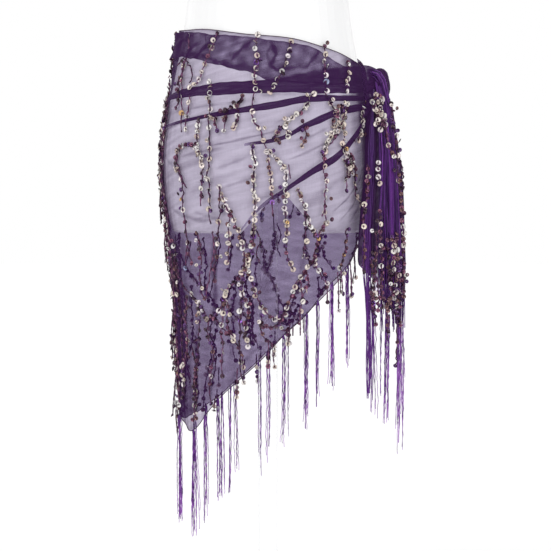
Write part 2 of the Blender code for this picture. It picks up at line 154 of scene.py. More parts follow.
PLEATS = {
    "pleat_front_1": (
        Pleat(0.15, 0.911, 0.008), Pleat(0.64, 0.918, 0.014), Pleat(1.30, 0.924, 0.020),
        Pleat(1.65, 0.9255, 0.019), Pleat(2.10, 0.924, 0.017), Pleat(2.84, 0.926, 0.013),
    ),
    "pleat_front_2": (
        Pleat(0.15, 0.864, 0.004), Pleat(0.88, 0.879, 0.006), Pleat(1.43, 0.892, 0.010),
        Pleat(1.65, 0.8975, 0.011), Pleat(1.92, 0.906, 0.011), Pleat(2.40, 0.909, 0.009),
        Pleat(2.84, 0.911, 0.008),
    ),
    "pleat_front_3": (
        Pleat(1.36, 0.8365, 0.004), Pleat(1.73, 0.8485, 0.007), Pleat(1.90, 0.8635, 0.009),
        Pleat(2.08, 0.8755, 0.011), Pleat(2.28, 0.887, 0.011), Pleat(2.53, 0.8935, 0.011),
        Pleat(2.84, 0.899, 0.008),
    ),
    "pleat_front_4": (
        Pleat(1.32, 0.707, 0.004), Pleat(1.46, 0.734, 0.006), Pleat(1.75, 0.7695, 0.008),
        Pleat(2.00, 0.797, 0.011), Pleat(2.24, 0.8175, 0.013), Pleat(2.52, 0.852, 0.011),
        Pleat(2.82, 0.886, 0.008),
    ),
    "pleat_back_1": (
        Pleat(-3.22, 0.926, 0.012), Pleat(-2.10, 0.930, 0.016), Pleat(-1.30, 0.932, 0.014),
        Pleat(-0.20, 0.915, 0.006),
    ),
    "pleat_back_2": (
        Pleat(-3.22, 0.911, 0.008), Pleat(-2.20, 0.906, 0.012), Pleat(-1.50, 0.889, 0.009),
        Pleat(-0.60, 0.866, 0.004),
    ),
    "pleat_back_3": (
        Pleat(-3.20, 0.898, 0.008), Pleat(-2.40, 0.858, 0.014), Pleat(-1.90, 0.803, 0.010),
        Pleat(-1.45, 0.744, 0.004),
    ),
}
TAILS = {
    "tail_front": (
        Tail(0.911, 0.1640, -0.0470, 0.1920, -0.0350, 0.003),
        Tail(0.870, 0.1610, -0.0560, 0.1980, -0.0370, 0.006),
        Tail(0.800, 0.1600, -0.0630, 0.2050, -0.0410, 0.008),
        Tail(0.720, 0.1540, -0.0680, 0.2110, -0.0410, 0.009),
        Tail(0.650, 0.1520, -0.0690, 0.2140, -0.0410, 0.009),
        Tail(0.570, 0.1570, -0.0670, 0.2130, -0.0430, 0.009),
    ),
    "tail_back": (
        Tail(0.911, 0.1710, -0.0260, 0.1940, -0.0130, 0.003),
        Tail(0.870, 0.1760, -0.0230, 0.2020, -0.0080, 0.005),
        Tail(0.800, 0.1830, -0.0190, 0.2130, 0.0000, 0.007),
        Tail(0.720, 0.1820, -0.0170, 0.2180, 0.0060, 0.008),
        Tail(0.650, 0.1800, -0.0170, 0.2190, 0.0100, 0.008),
        Tail(0.570, 0.1840, -0.0150, 0.2180, 0.0100, 0.008),
    ),
}
TAIL_CUTS = {
    "tail_front": TailCut(2.5, 0.640, 0.60, 0.572, 0.602, 0.400, -0.16),
    "tail_back": TailCut(2.0, 0.622, 0.70, 0.580, 0.596, 0.345, 0.0),
}

# ---------------------------------------------------------------- creases
# A crease runs through places on the cloth (angle, height). It is a soft ridge, or a trough where depth is
# negative, and density is how many layers of cloth are gathered in it.
Crease = namedtuple("Crease", "width depth density route")
WRAP_CREASES = (
    Crease(0.0016, 0.0007, 1.3, ((0.06, 0.851), (0.40, 0.866), (0.80, 0.878), (1.20, 0.888))),
    Crease(0.0018, -0.0006, -0.3, ((0.10, 0.846), (0.45, 0.861), (0.85, 0.873), (1.10, 0.881))),
    Crease(0.0014, 0.0006, 0.9, ((0.95, 0.834), (1.25, 0.842), (1.55, 0.853), (1.80, 0.864))),
    Crease(0.0026, -0.0007, 0.5, ((1.05, 0.797), (1.25, 0.809), (1.42, 0.820))),
    Crease(0.0020, 0.0006, 0.6, ((0.62, 0.818), (0.95, 0.827), (1.20, 0.832))),
    Crease(0.0022, 0.0007, 0.55, ((1.12, 0.770), (1.30, 0.779), (1.52, 0.790))),
    Crease(0.0030, 0.0009, 0.7, ((0.38, 0.741), (0.62, 0.728), (0.92, 0.719), (1.12, 0.726))),
    Crease(0.0024, -0.0006, 0.5, ((0.78, 0.734), (0.95, 0.728), (1.15, 0.719))),
    Crease(0.0016, 0.0006, 0.8, ((1.72, 0.811), (1.95, 0.826), (2.20, 0.845), (2.45, 0.869))),
    Crease(0.0020, 0.0006, 0.5, ((1.80, 0.842), (2.00, 0.851), (2.20, 0.866))),
    Crease(0.0015, 0.0006, 0.8, ((2.18, 0.728), (2.40, 0.753), (2.58, 0.782), (2.70, 0.822))),
    Crease(0.0015, -0.0005, 0.6, ((2.30, 0.716), (2.50, 0.742), (2.66, 0.782))),
    Crease(0.0017, 0.0005, 0.6, ((2.45, 0.712), (2.60, 0.740), (2.74, 0.800))),
    Crease(0.0030, 0.0009, 0.8, ((1.03, 0.700), (0.99, 0.656), (0.98, 0.618))),
    Crease(0.0024, 0.0007, 0.6, ((0.86, 0.692), (0.92, 0.655), (0.93, 0.610))),
    Crease(0.0035, 0.0008, 0.7, ((0.36, 0.700), (0.42, 0.610), (0.46, 0.500), (0.52, 0.400))),
    Crease(0.0030, 0.0008, 0.7, ((0.24, 0.690), (0.26, 0.590), (0.30, 0.480), (0.34, 0.412))),
    Crease(0.0040, -0.0007, 0.4, ((0.70, 0.640), (0.72, 0.540), (0.66, 0.440))),
    Crease(0.0050, 0.0009, 0.5, ((1.24, 0.620), (1.20, 0.560), (1.16, 0.490))),
    Crease(0.0060, 0.0008, 0.4, ((1.60, 0.700), (1.56, 0.630), (1.54, 0.560))),
    Crease(0.0040, 0.0007, 0.35, ((1.95, 0.690), (1.90, 0.640), (1.86, 0.590))),
    Crease(0.0030, 0.0006, 0.5, ((0.15, 0.835), (0.40, 0.812), (0.60, 0.800))),
    Crease(0.0022, 0.0006, 0.4, ((1.45, 0.912), (1.80, 0.914), (2.10, 0.913))),
    Crease(0.0030, 0.0009, 1.5, ((1.06, 0.700), (1.02, 0.650), (1.00, 0.600), (0.94, 0.565))),
    Crease(0.0040, 0.0009, 1.2, ((0.70, 0.560), (0.68, 0.500), (0.64, 0.440), (0.58, 0.400))),
    Crease(0.0030, 0.0008, 1.0, ((0.96, 0.530), (0.90, 0.480), (0.88, 0.430))),
    Crease(0.0026, 0.0007, 0.5, ((1.10, 0.455), (1.30, 0.500), (1.55, 0.535))),
    Crease(0.0060, 0.0010, 0.35, ((0.20, 0.780), (0.50, 0.800), (0.90, 0.812), (1.20, 0.826))),
    Crease(0.0050, -0.0008, 0.30, ((0.70, 0.756), (1.00, 0.778), (1.35, 0.796))),
    Crease(0.0045, 0.0008, 0.40, ((1.30, 0.735), (1.60, 0.762), (1.90, 0.790), (2.20, 0.830))),
    Crease(0.0055, 0.0009, 0.30, ((1.50, 0.700), (1.80, 0.730), (2.10, 0.762), (2.40, 0.800))),
    Crease(0.0020, 0.0006, 0.55, ((1.62, 0.868), (1.85, 0.884), (2.05, 0.893))),
    Crease(0.0018, 0.0006, 0.60, ((0.30, 0.884), (0.70, 0.893), (1.10, 0.899), (1.50, 0.905))),
    Crease(0.0022, 0.0006, 0.40, ((0.26, 0.935), (0.60, 0.942), (0.95, 0.938))),
    Crease(0.0070, 0.0010, 0.45, ((0.16, 0.760), (0.24, 0.720), (0.40, 0.700))),
    Crease(0.0060, 0.0010, 0.35, ((2.02, 0.720), (2.26, 0.700), (2.50, 0.690))),
)
BACK_CREASES = (
    Crease(0.0018, 0.0007, 1.1, ((-0.08, 0.850), (-0.50, 0.868), (-1.00, 0.884), (-1.45, 0.901))),
    Crease(0.0016, 0.0006, 0.8, ((-1.00, 0.826), (-1.45, 0.846), (-1.90, 0.874), (-2.30, 0.893))),
    Crease(0.0026, -0.0007, 0.5, ((-0.90, 0.790), (-1.20, 0.802), (-1.55, 0.822))),
    Crease(0.0022, 0.0007, 0.5, ((-1.60, 0.778), (-1.95, 0.812), (-2.35, 0.842))),
    Crease(0.0030, 0.0009, 0.6, ((-0.42, 0.742), (-0.80, 0.724), (-1.18, 0.735))),
    Crease(0.0017, 0.0006, 0.8, ((-2.20, 0.724), (-2.52, 0.752), (-2.82, 0.806), (-3.05, 0.868))),
    Crease(0.0017, -0.0005, 0.6, ((-2.45, 0.700), (-2.70, 0.738), (-2.92, 0.796))),
    Crease(0.0030, 0.0009, 0.7, ((-0.36, 0.700), (-0.40, 0.600), (-0.44, 0.480))),
    Crease(0.0035, 0.0008, 0.6, ((-0.95, 0.690), (-0.92, 0.600), (-0.90, 0.520))),
    Crease(0.0050, 0.0009, 0.5, ((-1.50, 0.690), (-1.46, 0.610), (-1.40, 0.540))),
    Crease(0.0040, 0.0008, 0.4, ((-2.00, 0.720), (-1.96, 0.650), (-1.92, 0.600))),
)
BAND_CREASES = (
    Crease(0.0030, 0.0010, 1.3, ((1.44, 1.000), (1.30, 0.985), (1.22, 0.972), (1.16, 0.962))),
    Crease(0.0022, 0.0008, 1.0, ((1.16, 0.966), (1.02, 0.963), (0.90, 0.972))),
    Crease(0.0040, 0.0012, 1.8, ((0.10, 0.990), (0.35, 1.003), (0.62, 1.010))),
    Crease(0.0032, 0.0012, 1.8, ((0.62, 0.960), (0.80, 0.985), (0.96, 1.000), (1.02, 1.008))),
    Crease(0.0045, 0.0010, 1.4, ((1.02, 0.948), (1.12, 0.958), (1.30, 0.956), (1.50, 0.950))),
    Crease(0.0030, 0.0010, 1.3, ((0.34, 0.965), (0.52, 0.975), (0.60, 0.990), (0.74, 0.994))),
    Crease(0.0026, 0.0010, 1.6, ((1.60, 0.998), (1.66, 0.975), (1.60, 0.958), (1.70, 0.946))),
    Crease(0.0040, 0.0012, 1.4, ((0.08, 0.978), (0.40, 0.980), (0.80, 0.975), (1.00, 0.966))),
    Crease(0.0030, -0.0008, 0.7, ((0.20, 1.012), (0.50, 0.998), (0.66, 0.978))),
    Crease(0.0024, 0.0009, 1.1, ((2.18, 0.984), (2.06, 0.968), (1.98, 0.956), (1.90, 0.951))),
    Crease(0.0024, 0.0008, 0.9, ((1.96, 0.958), (1.76, 0.952), (1.62, 0.950))),
    Crease(0.0020, 0.0007, 0.6, ((1.62, 0.992), (1.56, 0.975), (1.60, 0.958))),
    Crease(0.0020, 0.0007, 0.6, ((2.28, 0.978), (2.42, 0.968), (2.62, 0.962))),
    Crease(0.0018, 0.0006, 0.5, ((0.80, 1.012), (0.84, 0.992), (0.90, 0.978))),
    Crease(0.0026, 0.0008, 0.6, ((1.70, 0.944), (2.10, 0.941), (2.60, 0.940))),
)
BAND_BACK_CREASES = (
    Crease(0.0030, 0.0010, 1.1, ((-1.50, 1.008), (-1.32, 0.985), (-1.20, 0.968))),
    Crease(0.0040, 0.0012, 1.2, ((-0.08, 0.990), (-0.40, 1.000), (-0.70, 1.006))),
    Crease(0.0030, 0.0010, 1.0, ((-0.10, 0.978), (-0.60, 0.976), (-1.10, 0.966))),
    Crease(0.0024, 0.0009, 0.9, ((-2.30, 0.994), (-2.10, 0.970), (-1.90, 0.955))),
    Crease(0.0026, 0.0008, 0.7, ((-2.40, 0.965), (-2.80, 0.960), (-3.15, 0.955))),
)

# ---------------------------------------------------------------- sequins and yarn
# A chain is yarn stitched through places on the cloth, with sequins on it a spacing apart. The share says
# how many of them are pale, and a chain with no spacing is bare yarn. Most of the front chains' places were
# not chosen by hand: a helper program worked them out from positions in a picture.
Chain = namedtuple("Chain", "spacing pale route")
CHAINS = (
    # down from the waist edge
    Chain(0.0140, 0.9, ((0.98, 1.010), (0.92, 0.984), (0.86, 0.960), (0.83, 0.944), (0.76, 0.929))),
    Chain(0.0300, 0.6, ((0.49, 1.008), (0.54, 0.984), (0.49, 0.955), (0.54, 0.927), (0.62, 0.888))),
    Chain(0.0130, 1.0, ((1.46, 1.004), (1.44, 0.985), (1.47, 0.965), (1.44, 0.945), (1.46, 0.922))),
    Chain(0.0200, 0.8, ((1.45, 0.922), (1.42, 0.895), (1.44, 0.872), (1.50, 0.860), (1.56, 0.828))),
    Chain(0.0150, 0.9, ((1.82, 0.995), (1.76, 0.965), (1.68, 0.936), (1.60, 0.918))),
    Chain(0.0140, 0.8, ((2.24, 0.989), (2.20, 0.962), (2.19, 0.935), (2.17, 0.916), (2.22, 0.901))),
    Chain(0.0120, 0.5, ((2.22, 0.901), (2.26, 0.886), (2.22, 0.869), (2.26, 0.858))),
    Chain(0.0110, 0.7, ((2.58, 0.968), (2.54, 0.948), (2.46, 0.922))),
    Chain(0.0095, 0.8, ((2.02, 0.914), (1.94, 0.896), (1.82, 0.880), (1.74, 0.868), (1.76, 0.848))),
    Chain(0.0120, 0.5, ((1.90, 0.872), (1.93, 0.850), (1.88, 0.834))),
    Chain(0.0085, 0.9, (
        (2.44, 0.900), (2.37, 0.884), (2.34, 0.862), (2.35, 0.832), (2.42, 0.818), (2.47, 0.804),
    )),
    Chain(0.0080, 0.9, ((2.34, 0.870), (2.25, 0.858), (2.14, 0.842), (2.10, 0.822))),
    Chain(0.0150, 0.5, ((2.11, 0.830), (2.10, 0.800), (2.13, 0.775), (2.12, 0.750), (2.15, 0.718))),
    Chain(0.0120, 0.7, ((2.15, 0.718), (2.08, 0.700), (2.06, 0.678), (2.02, 0.655))),
    Chain(0.0105, 0.8, ((2.69, 0.896), (2.67, 0.878), (2.62, 0.862), (2.55, 0.846))),
    Chain(0.0080, 0.3, ((1.33, 0.912), (1.29, 0.898), (1.19, 0.890), (1.17, 0.872))),
    Chain(0.0100, 0.6, ((1.28, 0.896), (1.29, 0.878), (1.26, 0.860))),
    Chain(0.0230, 0.9, ((0.69, 0.926), (0.72, 0.900), (0.70, 0.876), (0.71, 0.862))),
    # across the hips
    Chain(0.0180, 0.8, (
        (0.98, 0.878), (1.01, 0.852), (1.02, 0.821), (1.00, 0.793), (1.01, 0.764), (1.00, 0.738),
    )),
    Chain(0.0075, 0.5, (
        (0.57, 0.795), (0.60, 0.822), (0.68, 0.836), (0.79, 0.838), (0.89, 0.828), (0.94, 0.804),
    )),
    Chain(0.0140, 0.6, ((0.94, 0.804), (0.93, 0.783), (0.92, 0.758))),
    Chain(0.0120, 0.6, ((0.88, 0.876), (0.86, 0.858), (0.87, 0.840))),
    Chain(0.0190, 0.6, (
        (0.60, 0.800), (0.67, 0.776), (0.66, 0.738), (0.67, 0.704), (0.67, 0.680), (0.72, 0.654),
    )),
    Chain(0.0210, 0.3, (
        (1.12, 0.773), (1.11, 0.742), (1.09, 0.712), (1.06, 0.684), (1.03, 0.656), (1.01, 0.626),
    )),
    Chain(0.0115, 0.7, ((1.14, 0.760), (1.18, 0.742), (1.24, 0.724), (1.28, 0.708), (1.32, 0.686))),
    Chain(0.0100, 0.5, ((1.32, 0.686), (1.34, 0.664), (1.34, 0.641))),
    Chain(0.0190, 0.5, ((1.21, 0.729), (1.19, 0.708), (1.19, 0.686), (1.17, 0.656))),
    Chain(0.0105, 0.9, ((1.43, 0.832), (1.45, 0.808), (1.44, 0.776), (1.45, 0.744), (1.44, 0.714))),
    Chain(0.0085, 0.7, ((1.44, 0.709), (1.42, 0.686), (1.39, 0.664), (1.35, 0.642))),
    Chain(0.0140, 0.8, ((1.57, 0.825), (1.59, 0.800), (1.60, 0.777), (1.61, 0.750))),
    Chain(0.0105, 0.9, (
        (1.58, 0.826), (1.67, 0.813), (1.73, 0.800), (1.74, 0.775), (1.73, 0.745), (1.75, 0.714),
    )),
    Chain(0.0130, 0.7, ((1.75, 0.712), (1.75, 0.680), (1.77, 0.662), (1.82, 0.646))),
    Chain(0.0100, 0.8, ((1.84, 0.768), (1.91, 0.746), (1.96, 0.720), (2.05, 0.697))),
    Chain(0.0260, 0.7, ((1.92, 0.742), (1.94, 0.710), (1.94, 0.686), (1.93, 0.666))),
    Chain(0.0120, 0.9, ((2.33, 0.814), (2.38, 0.799), (2.36, 0.782))),
    Chain(0.0130, 0.6, ((2.50, 0.800), (2.51, 0.765), (2.64, 0.742), (2.68, 0.718), (2.72, 0.702))),
    Chain(0.0120, 0.2, ((2.42, 0.708), (2.43, 0.676), (2.38, 0.646))),
    # the net on the hanging cloth
    Chain(0.0120, 0.6, ((0.40, 0.655), (0.51, 0.627), (0.64, 0.606), (0.80, 0.589), (0.90, 0.566))),
    Chain(0.0110, 0.7, ((0.90, 0.565), (1.04, 0.580), (1.13, 0.610), (1.25, 0.628), (1.34, 0.646))),
    Chain(0.0110, 0.9, ((1.34, 0.648), (1.41, 0.625), (1.47, 0.598), (1.55, 0.579), (1.65, 0.569))),
    Chain(0.0110, 0.7, (
        (1.65, 0.569), (1.75, 0.576), (1.80, 0.600), (1.86, 0.624), (1.96, 0.644), (2.04, 0.662),
    )),
    Chain(0.0180, 0.5, ((1.12, 0.606), (1.10, 0.578), (1.06, 0.551), (1.07, 0.528), (1.06, 0.502))),
    Chain(0.0170, 0.5, ((0.99, 0.567), (1.13, 0.547), (1.24, 0.527), (1.30, 0.510))),
    Chain(0.0160, 0.5, ((0.90, 0.565), (0.88, 0.542), (0.94, 0.520), (0.93, 0.492), (0.89, 0.462))),
    Chain(0.0180, 0.5, ((1.51, 0.574), (1.51, 0.544), (1.57, 0.536), (1.62, 0.528))),
    Chain(0.0200, 0.4, ((1.32, 0.630), (1.30, 0.598), (1.28, 0.565), (1.27, 0.527), (1.27, 0.498))),
    Chain(0.0160, 0.5, ((1.68, 0.571), (1.72, 0.551), (1.78, 0.552))),
    Chain(0.0200, 0.6, ((1.90, 0.633), (1.93, 0.600), (1.91, 0.580))),
    Chain(0.0180, 0.5, ((2.04, 0.658), (2.12, 0.637), (2.20, 0.624))),
    Chain(0.0130, 0.3, (
        (0.59, 0.598), (0.55, 0.571), (0.56, 0.541), (0.54, 0.510), (0.47, 0.480), (0.36, 0.440),
    )),
    Chain(0.0160, 0.4, ((0.80, 0.588), (0.78, 0.549), (0.73, 0.510), (0.66, 0.468), (0.62, 0.426))),
    Chain(0.0, 0.0, ((1.01, 0.704), (1.02, 0.675), (0.95, 0.636), (0.88, 0.597))),
    # along the side fold
    Chain(0.0100, 0.2, ((0.02, 0.906), (0.05, 0.854), (0.04, 0.807), (0.05, 0.751), (0.06, 0.700))),
    Chain(0.0150, 0.2, ((0.06, 0.700), (0.13, 0.640), (0.07, 0.576), (0.05, 0.511), (0.11, 0.439))),
    Chain(0.0120, 0.3, ((0.20, 0.900), (0.24, 0.850), (0.20, 0.800), (0.28, 0.740), (0.24, 0.690))),
    Chain(0.0170, 0.4, ((0.24, 0.690), (0.30, 0.620), (0.24, 0.550), (0.30, 0.480), (0.24, 0.425))),
    Chain(0.0140, 0.4, ((0.44, 0.690), (0.38, 0.620), (0.44, 0.560), (0.40, 0.500), (0.46, 0.440))),
    Chain(0.0120, 0.2, (
        (-0.14, 0.890), (-0.10, 0.820), (-0.16, 0.740), (-0.10, 0.660), (-0.15, 0.560), (-0.1, 0.460),
    )),
    Chain(0.0090, 0.2, ((-0.02, 0.940), (0.02, 0.880), (-0.03, 0.830), (0.01, 0.780), (-0.02, 0.730))),
    Chain(0.0110, 0.3, ((0.12, 0.890), (0.09, 0.840), (0.13, 0.790), (0.10, 0.740), (0.14, 0.700))),
    Chain(0.0150, 0.2, ((-0.02, 0.700), (0.02, 0.640), (-0.03, 0.580), (0.02, 0.520), (0.00, 0.450))),
    Chain(0.0210, 0.3, ((0.16, 0.660), (0.20, 0.600), (0.15, 0.540), (0.20, 0.470), (0.18, 0.420))),
    Chain(0.0130, 0.4, ((0.33, 0.665), (0.36, 0.640), (0.33, 0.615), (0.40, 0.600), (0.36, 0.570))),
    Chain(0.0110, 0.3, ((1.10, 0.600), (1.16, 0.585), (1.13, 0.560), (1.20, 0.540))),
    Chain(0.0100, 0.4, ((1.74, 0.576), (1.68, 0.560), (1.60, 0.555), (1.52, 0.562))),
    Chain(0.0110, 0.3, ((1.34, 0.642), (1.30, 0.612), (1.37, 0.585), (1.33, 0.555), (1.36, 0.525))),
    Chain(0.0120, 0.3, ((1.17, 0.890), (1.10, 0.886), (1.06, 0.874), (1.10, 0.858))),
    Chain(0.0090, 0.4, ((1.74, 0.866), (1.68, 0.862), (1.64, 0.850), (1.68, 0.838))),
    Chain(0.0100, 0.5, ((2.42, 0.818), (2.36, 0.812), (2.44, 0.800), (2.40, 0.788))),
    Chain(0.0, 0.0, ((0.66, 0.838), (0.60, 0.815), (0.66, 0.790), (0.72, 0.770))),
    Chain(0.0, 0.0, (
        (0.34, 0.962), (0.44, 0.972), (0.56, 0.966), (0.66, 0.955), (0.70, 0.940), (0.66, 0.932),
    )),
    Chain(0.0160, 0.3, (
        (0.46, 0.968), (0.50, 0.955), (0.44, 0.942), (0.46, 0.930), (0.52, 0.912), (0.50, 0.894),
    )),
    Chain(0.0062, 0.1, (
        (0.04, 1.014), (-0.02, 1.004), (0.05, 0.992), (-0.03, 0.980), (0.04, 0.968), (0.0, 0.955),
    )),
    Chain(0.0150, 0.2, ((0.22, 0.900), (0.28, 0.885), (0.24, 0.870), (0.28, 0.855))),
    Chain(0.0130, 0.9, ((0.96, 0.934), (0.99, 0.922), (0.95, 0.912), (0.98, 0.900), (1.00, 0.880))),
    Chain(0.0100, 0.8, ((2.34, 0.896), (2.28, 0.884), (2.30, 0.874), (2.24, 0.866))),
    Chain(0.0150, 0.3, ((0.84, 0.700), (0.86, 0.660), (0.83, 0.630), (0.86, 0.600))),
    Chain(0.0, 0.0, ((1.45, 0.712), (1.50, 0.690), (1.46, 0.672), (1.50, 0.655))),
    Chain(0.0085, 0.9, ((2.30, 0.840), (2.36, 0.826), (2.42, 0.812), (2.40, 0.800))),
    Chain(0.0, 0.0, ((2.10, 0.830), (2.20, 0.842), (2.28, 0.858), (2.34, 0.872))),
    Chain(0.0130, 0.2, ((1.95, 0.642), (2.00, 0.622), (1.94, 0.604), (1.98, 0.592))),
    Chain(0.0140, 0.3, ((0.62, 0.520), (0.68, 0.490), (0.62, 0.460), (0.66, 0.430), (0.60, 0.405))),
)
# The same on the front tail, where a place is the share across it and the height.
TAIL_CHAINS = (
    Chain(0.0085, 0.7, ((0.10, 0.914), (0.45, 0.912), (0.40, 0.895), (0.52, 0.880), (0.60, 0.870))),
    Chain(0.0095, 0.7, ((0.05, 0.905), (0.30, 0.900), (0.36, 0.886), (0.50, 0.876), (0.42, 0.862))),
    Chain(0.0160, 0.8, ((0.55, 0.880), (0.62, 0.860), (0.66, 0.842), (0.76, 0.826))),
    Chain(0.0130, 0.8, ((0.26, 0.812), (0.28, 0.792), (0.32, 0.778))),
    Chain(0.0125, 0.3, ((0.34, 0.735), (0.36, 0.700), (0.42, 0.660), (0.38, 0.620), (0.42, 0.585))),
    Chain(0.0110, 0.9, ((0.70, 0.695), (0.74, 0.672), (0.70, 0.650), (0.76, 0.625), (0.72, 0.600))),
    Chain(0.0100, 0.2, ((0.84, 0.700), (0.80, 0.665), (0.88, 0.630), (0.82, 0.590), (0.88, 0.560))),
    Chain(0.0130, 0.1, ((0.16, 0.660), (0.20, 0.620), (0.14, 0.585), (0.18, 0.560))),
    Chain(0.0150, 0.2, ((0.55, 0.690), (0.58, 0.650), (0.56, 0.620))),
    Chain(0.0120, 0.3, (
        (0.94, 0.900), (0.98, 0.860), (0.96, 0.800), (0.99, 0.740), (0.97, 0.680), (0.99, 0.600),
    )),
    Chain(0.0140, 0.3, ((-0.10, 0.800), (-0.06, 0.760), (-0.10, 0.720), (-0.04, 0.680), (-0.08, 0.640))),
    Chain(0.0075, 0.8, ((-0.10, 0.904), (0.10, 0.893), (0.25, 0.884), (0.20, 0.872))),
    Chain(0.0, 0.0, ((1.00, 0.815), (1.10, 0.812), (1.12, 0.800), (1.11, 0.775), (1.08, 0.768))),
    Chain(0.0090, 0.3, ((0.62, 0.640), (0.66, 0.615), (0.62, 0.590), (0.70, 0.575), (0.80, 0.580))),
    Chain(0.0450, 0.0, ((0.78, 0.570), (0.80, 0.545), (0.79, 0.520), (0.80, 0.495))),
    Chain(0.0130, 0.2, ((0.52, 0.590), (0.55, 0.565), (0.52, 0.535))),
    Chain(0.0110, 0.1, ((0.16, 0.625), (0.10, 0.600), (0.12, 0.578))),
    Chain(0.0120, 0.1, ((0.24, 0.700), (0.28, 0.670), (0.24, 0.640), (0.30, 0.610), (0.26, 0.580))),
)
# Loose ends of yarn that hang from a place on the cloth.
Dangle = namedtuple("Dangle", "angle height length sequins")
DANGLES = (
    Dangle(0.63, 0.888, 0.030, 0), Dangle(1.44, 0.712, 0.028, 1), Dangle(1.17, 0.872, 0.014, 1),
    Dangle(0.92, 0.758, 0.014, 0), Dangle(1.00, 0.738, 0.022, 0), Dangle(0.67, 0.680, 0.034, 1),
    Dangle(1.61, 0.750, 0.020, 1), Dangle(2.12, 0.750, 0.022, 0), Dangle(2.36, 0.782, 0.016, 1),
    Dangle(0.62, 0.426, 0.020, 1), Dangle(1.27, 0.498, 0.030, 1), Dangle(1.06, 0.502, 0.024, 1),
    Dangle(1.62, 0.528, 0.034, 1), Dangle(1.91, 0.580, 0.036, 0), Dangle(2.20, 0.624, 0.030, 1),
    Dangle(0.89, 0.462, 0.030, 1), Dangle(1.78, 0.552, 0.026, 0), Dangle(2.38, 0.646, 0.040, 1),
    Dangle(2.52, 0.655, 0.050, 1), Dangle(1.76, 0.806, 0.020, 0), Dangle(1.30, 0.510, 0.018, 1),
    Dangle(-0.02, 0.580, 0.060, 4), Dangle(-0.05, 0.560, 0.070, 4), Dangle(0.02, 0.530, 0.055, 4),
    Dangle(0.00, 0.480, 0.060, 3), Dangle(0.03, 0.430, 0.050, 3), Dangle(-0.03, 0.690, 0.050, 3),
    Dangle(-0.02, 0.760, 0.045, 3), Dangle(1.24, 0.490, 0.045, 4), Dangle(1.58, 0.535, 0.040, 4),
    Dangle(1.80, 0.560, 0.030, 3), Dangle(2.34, 0.640, 0.060, 3), Dangle(0.95, 0.440, 0.020, 2),
)

# ---------------------------------------------------------------- fringe
# A knotted bunch of strands on the hem: where it hangs and how far down it reaches.
Bunch = namedtuple("Bunch", "angle length strands")
FRINGE_FRONT = (
    Bunch(0.18, 0.174, 8), Bunch(0.28, 0.168, 4), Bunch(0.58, 0.174, 9), Bunch(0.80, 0.176, 4),
    Bunch(0.99, 0.168, 6), Bunch(1.16, 0.172, 5), Bunch(1.47, 0.176, 2), Bunch(1.56, 0.178, 2),
    Bunch(1.74, 0.172, 4), Bunch(1.99, 0.178, 6), Bunch(2.11, 0.150, 3), Bunch(2.28, 0.166, 6),
    Bunch(2.50, 0.150, 5),
)
FRINGE_BACK = (
    Bunch(-0.08, 0.172, 6), Bunch(-0.20, 0.164, 4), Bunch(-0.57, 0.174, 6), Bunch(-0.79, 0.168, 4),
    Bunch(-1.01, 0.174, 5), Bunch(-1.19, 0.160, 4), Bunch(-1.47, 0.168, 3), Bunch(-1.59, 0.170, 3),
    Bunch(-1.77, 0.172, 4), Bunch(-2.02, 0.166, 4), Bunch(-2.15, 0.174, 4), Bunch(-2.34, 0.170, 5),
    Bunch(-2.54, 0.160, 4),
)

# The same on the tails, as (share across, reach as a part of the CAD fringe, strands).
TAIL_BUNCHES = {
    "tail_front": (
        (0.06, 0.72, 4), (0.22, 0.95, 6), (0.40, 0.80, 3), (0.62, 1.0, 4), (0.86, 0.98, 5), (0.97, 0.70, 3),
    ),
    "tail_back": ((0.10, 0.75, 4), (0.34, 0.85, 4), (0.60, 0.80, 4), (0.78, 0.85, 3), (0.93, 1.0, 6)),
}


# ---------------------------------------------------------------- reading the tables
def column(rows, name):
    """One named column of a table."""
    return np.array([getattr(row, name) for row in rows])


def smooth(xs, ys, x):
    """The cubic curve through (xs, ys) at x; its slope at each row comes from that row's neighbours."""
    x = np.asarray(x, float)
    slopes = np.gradient(ys, xs)
    i = np.clip(np.searchsorted(xs, x) - 1, 0, len(xs) - 2)
    step = xs[i + 1] - xs[i]
    t = np.clip((x - xs[i]) / step, 0.0, 1.0)
    start = (2 * t**3 - 3 * t**2 + 1) * ys[i] + (t**3 - 2 * t**2 + t) * step * slopes[i]
    end = (3 * t**2 - 2 * t**3) * ys[i + 1] + (t**3 - t**2) * step * slopes[i + 1]
    return start + end


def read(rows, key, value, x):
    """A table's value column at x in its key column."""
    return smooth(column(rows, key), column(rows, value), x)


def edge_height(rows, angle):
    return read(rows, "angle", "height", angle)


def ramp(value, start, end):
    """0 at start, 1 at end, soft at both."""
    t = np.clip((value - start) / (end - start), 0.0, 1.0)
    return t * t * (3 - 2 * t)


def bell(value, middle, width):
    return np.exp(-(((value - middle) / width) ** 2))


# ---------------------------------------------------------------- the cloth's surface
def drape(angle, height):
    """How far the cloth stands out from its plain section at a place."""
    out = np.zeros(np.broadcast(angle, height).shape)
    for fold in FOLDS:
        grown = ramp(-height, -fold.start, FOLD_RUN - fold.start)
        out = out + fold.depth * grown * bell(angle, fold.angle, fold.width)
    bunched = bell(angle, BUNCH.angle, BUNCH.width)
    out = out + BUNCH.depth * bunched * ramp(height, BUNCH.start - 0.06, BUNCH.start)
    lifted = LIFT_OUT * ramp(np.abs(angle), LIFT_START, FRONT_END)
    return out + lifted * ramp(height, LIFT_LOW, LIFT_LOW + 0.04)


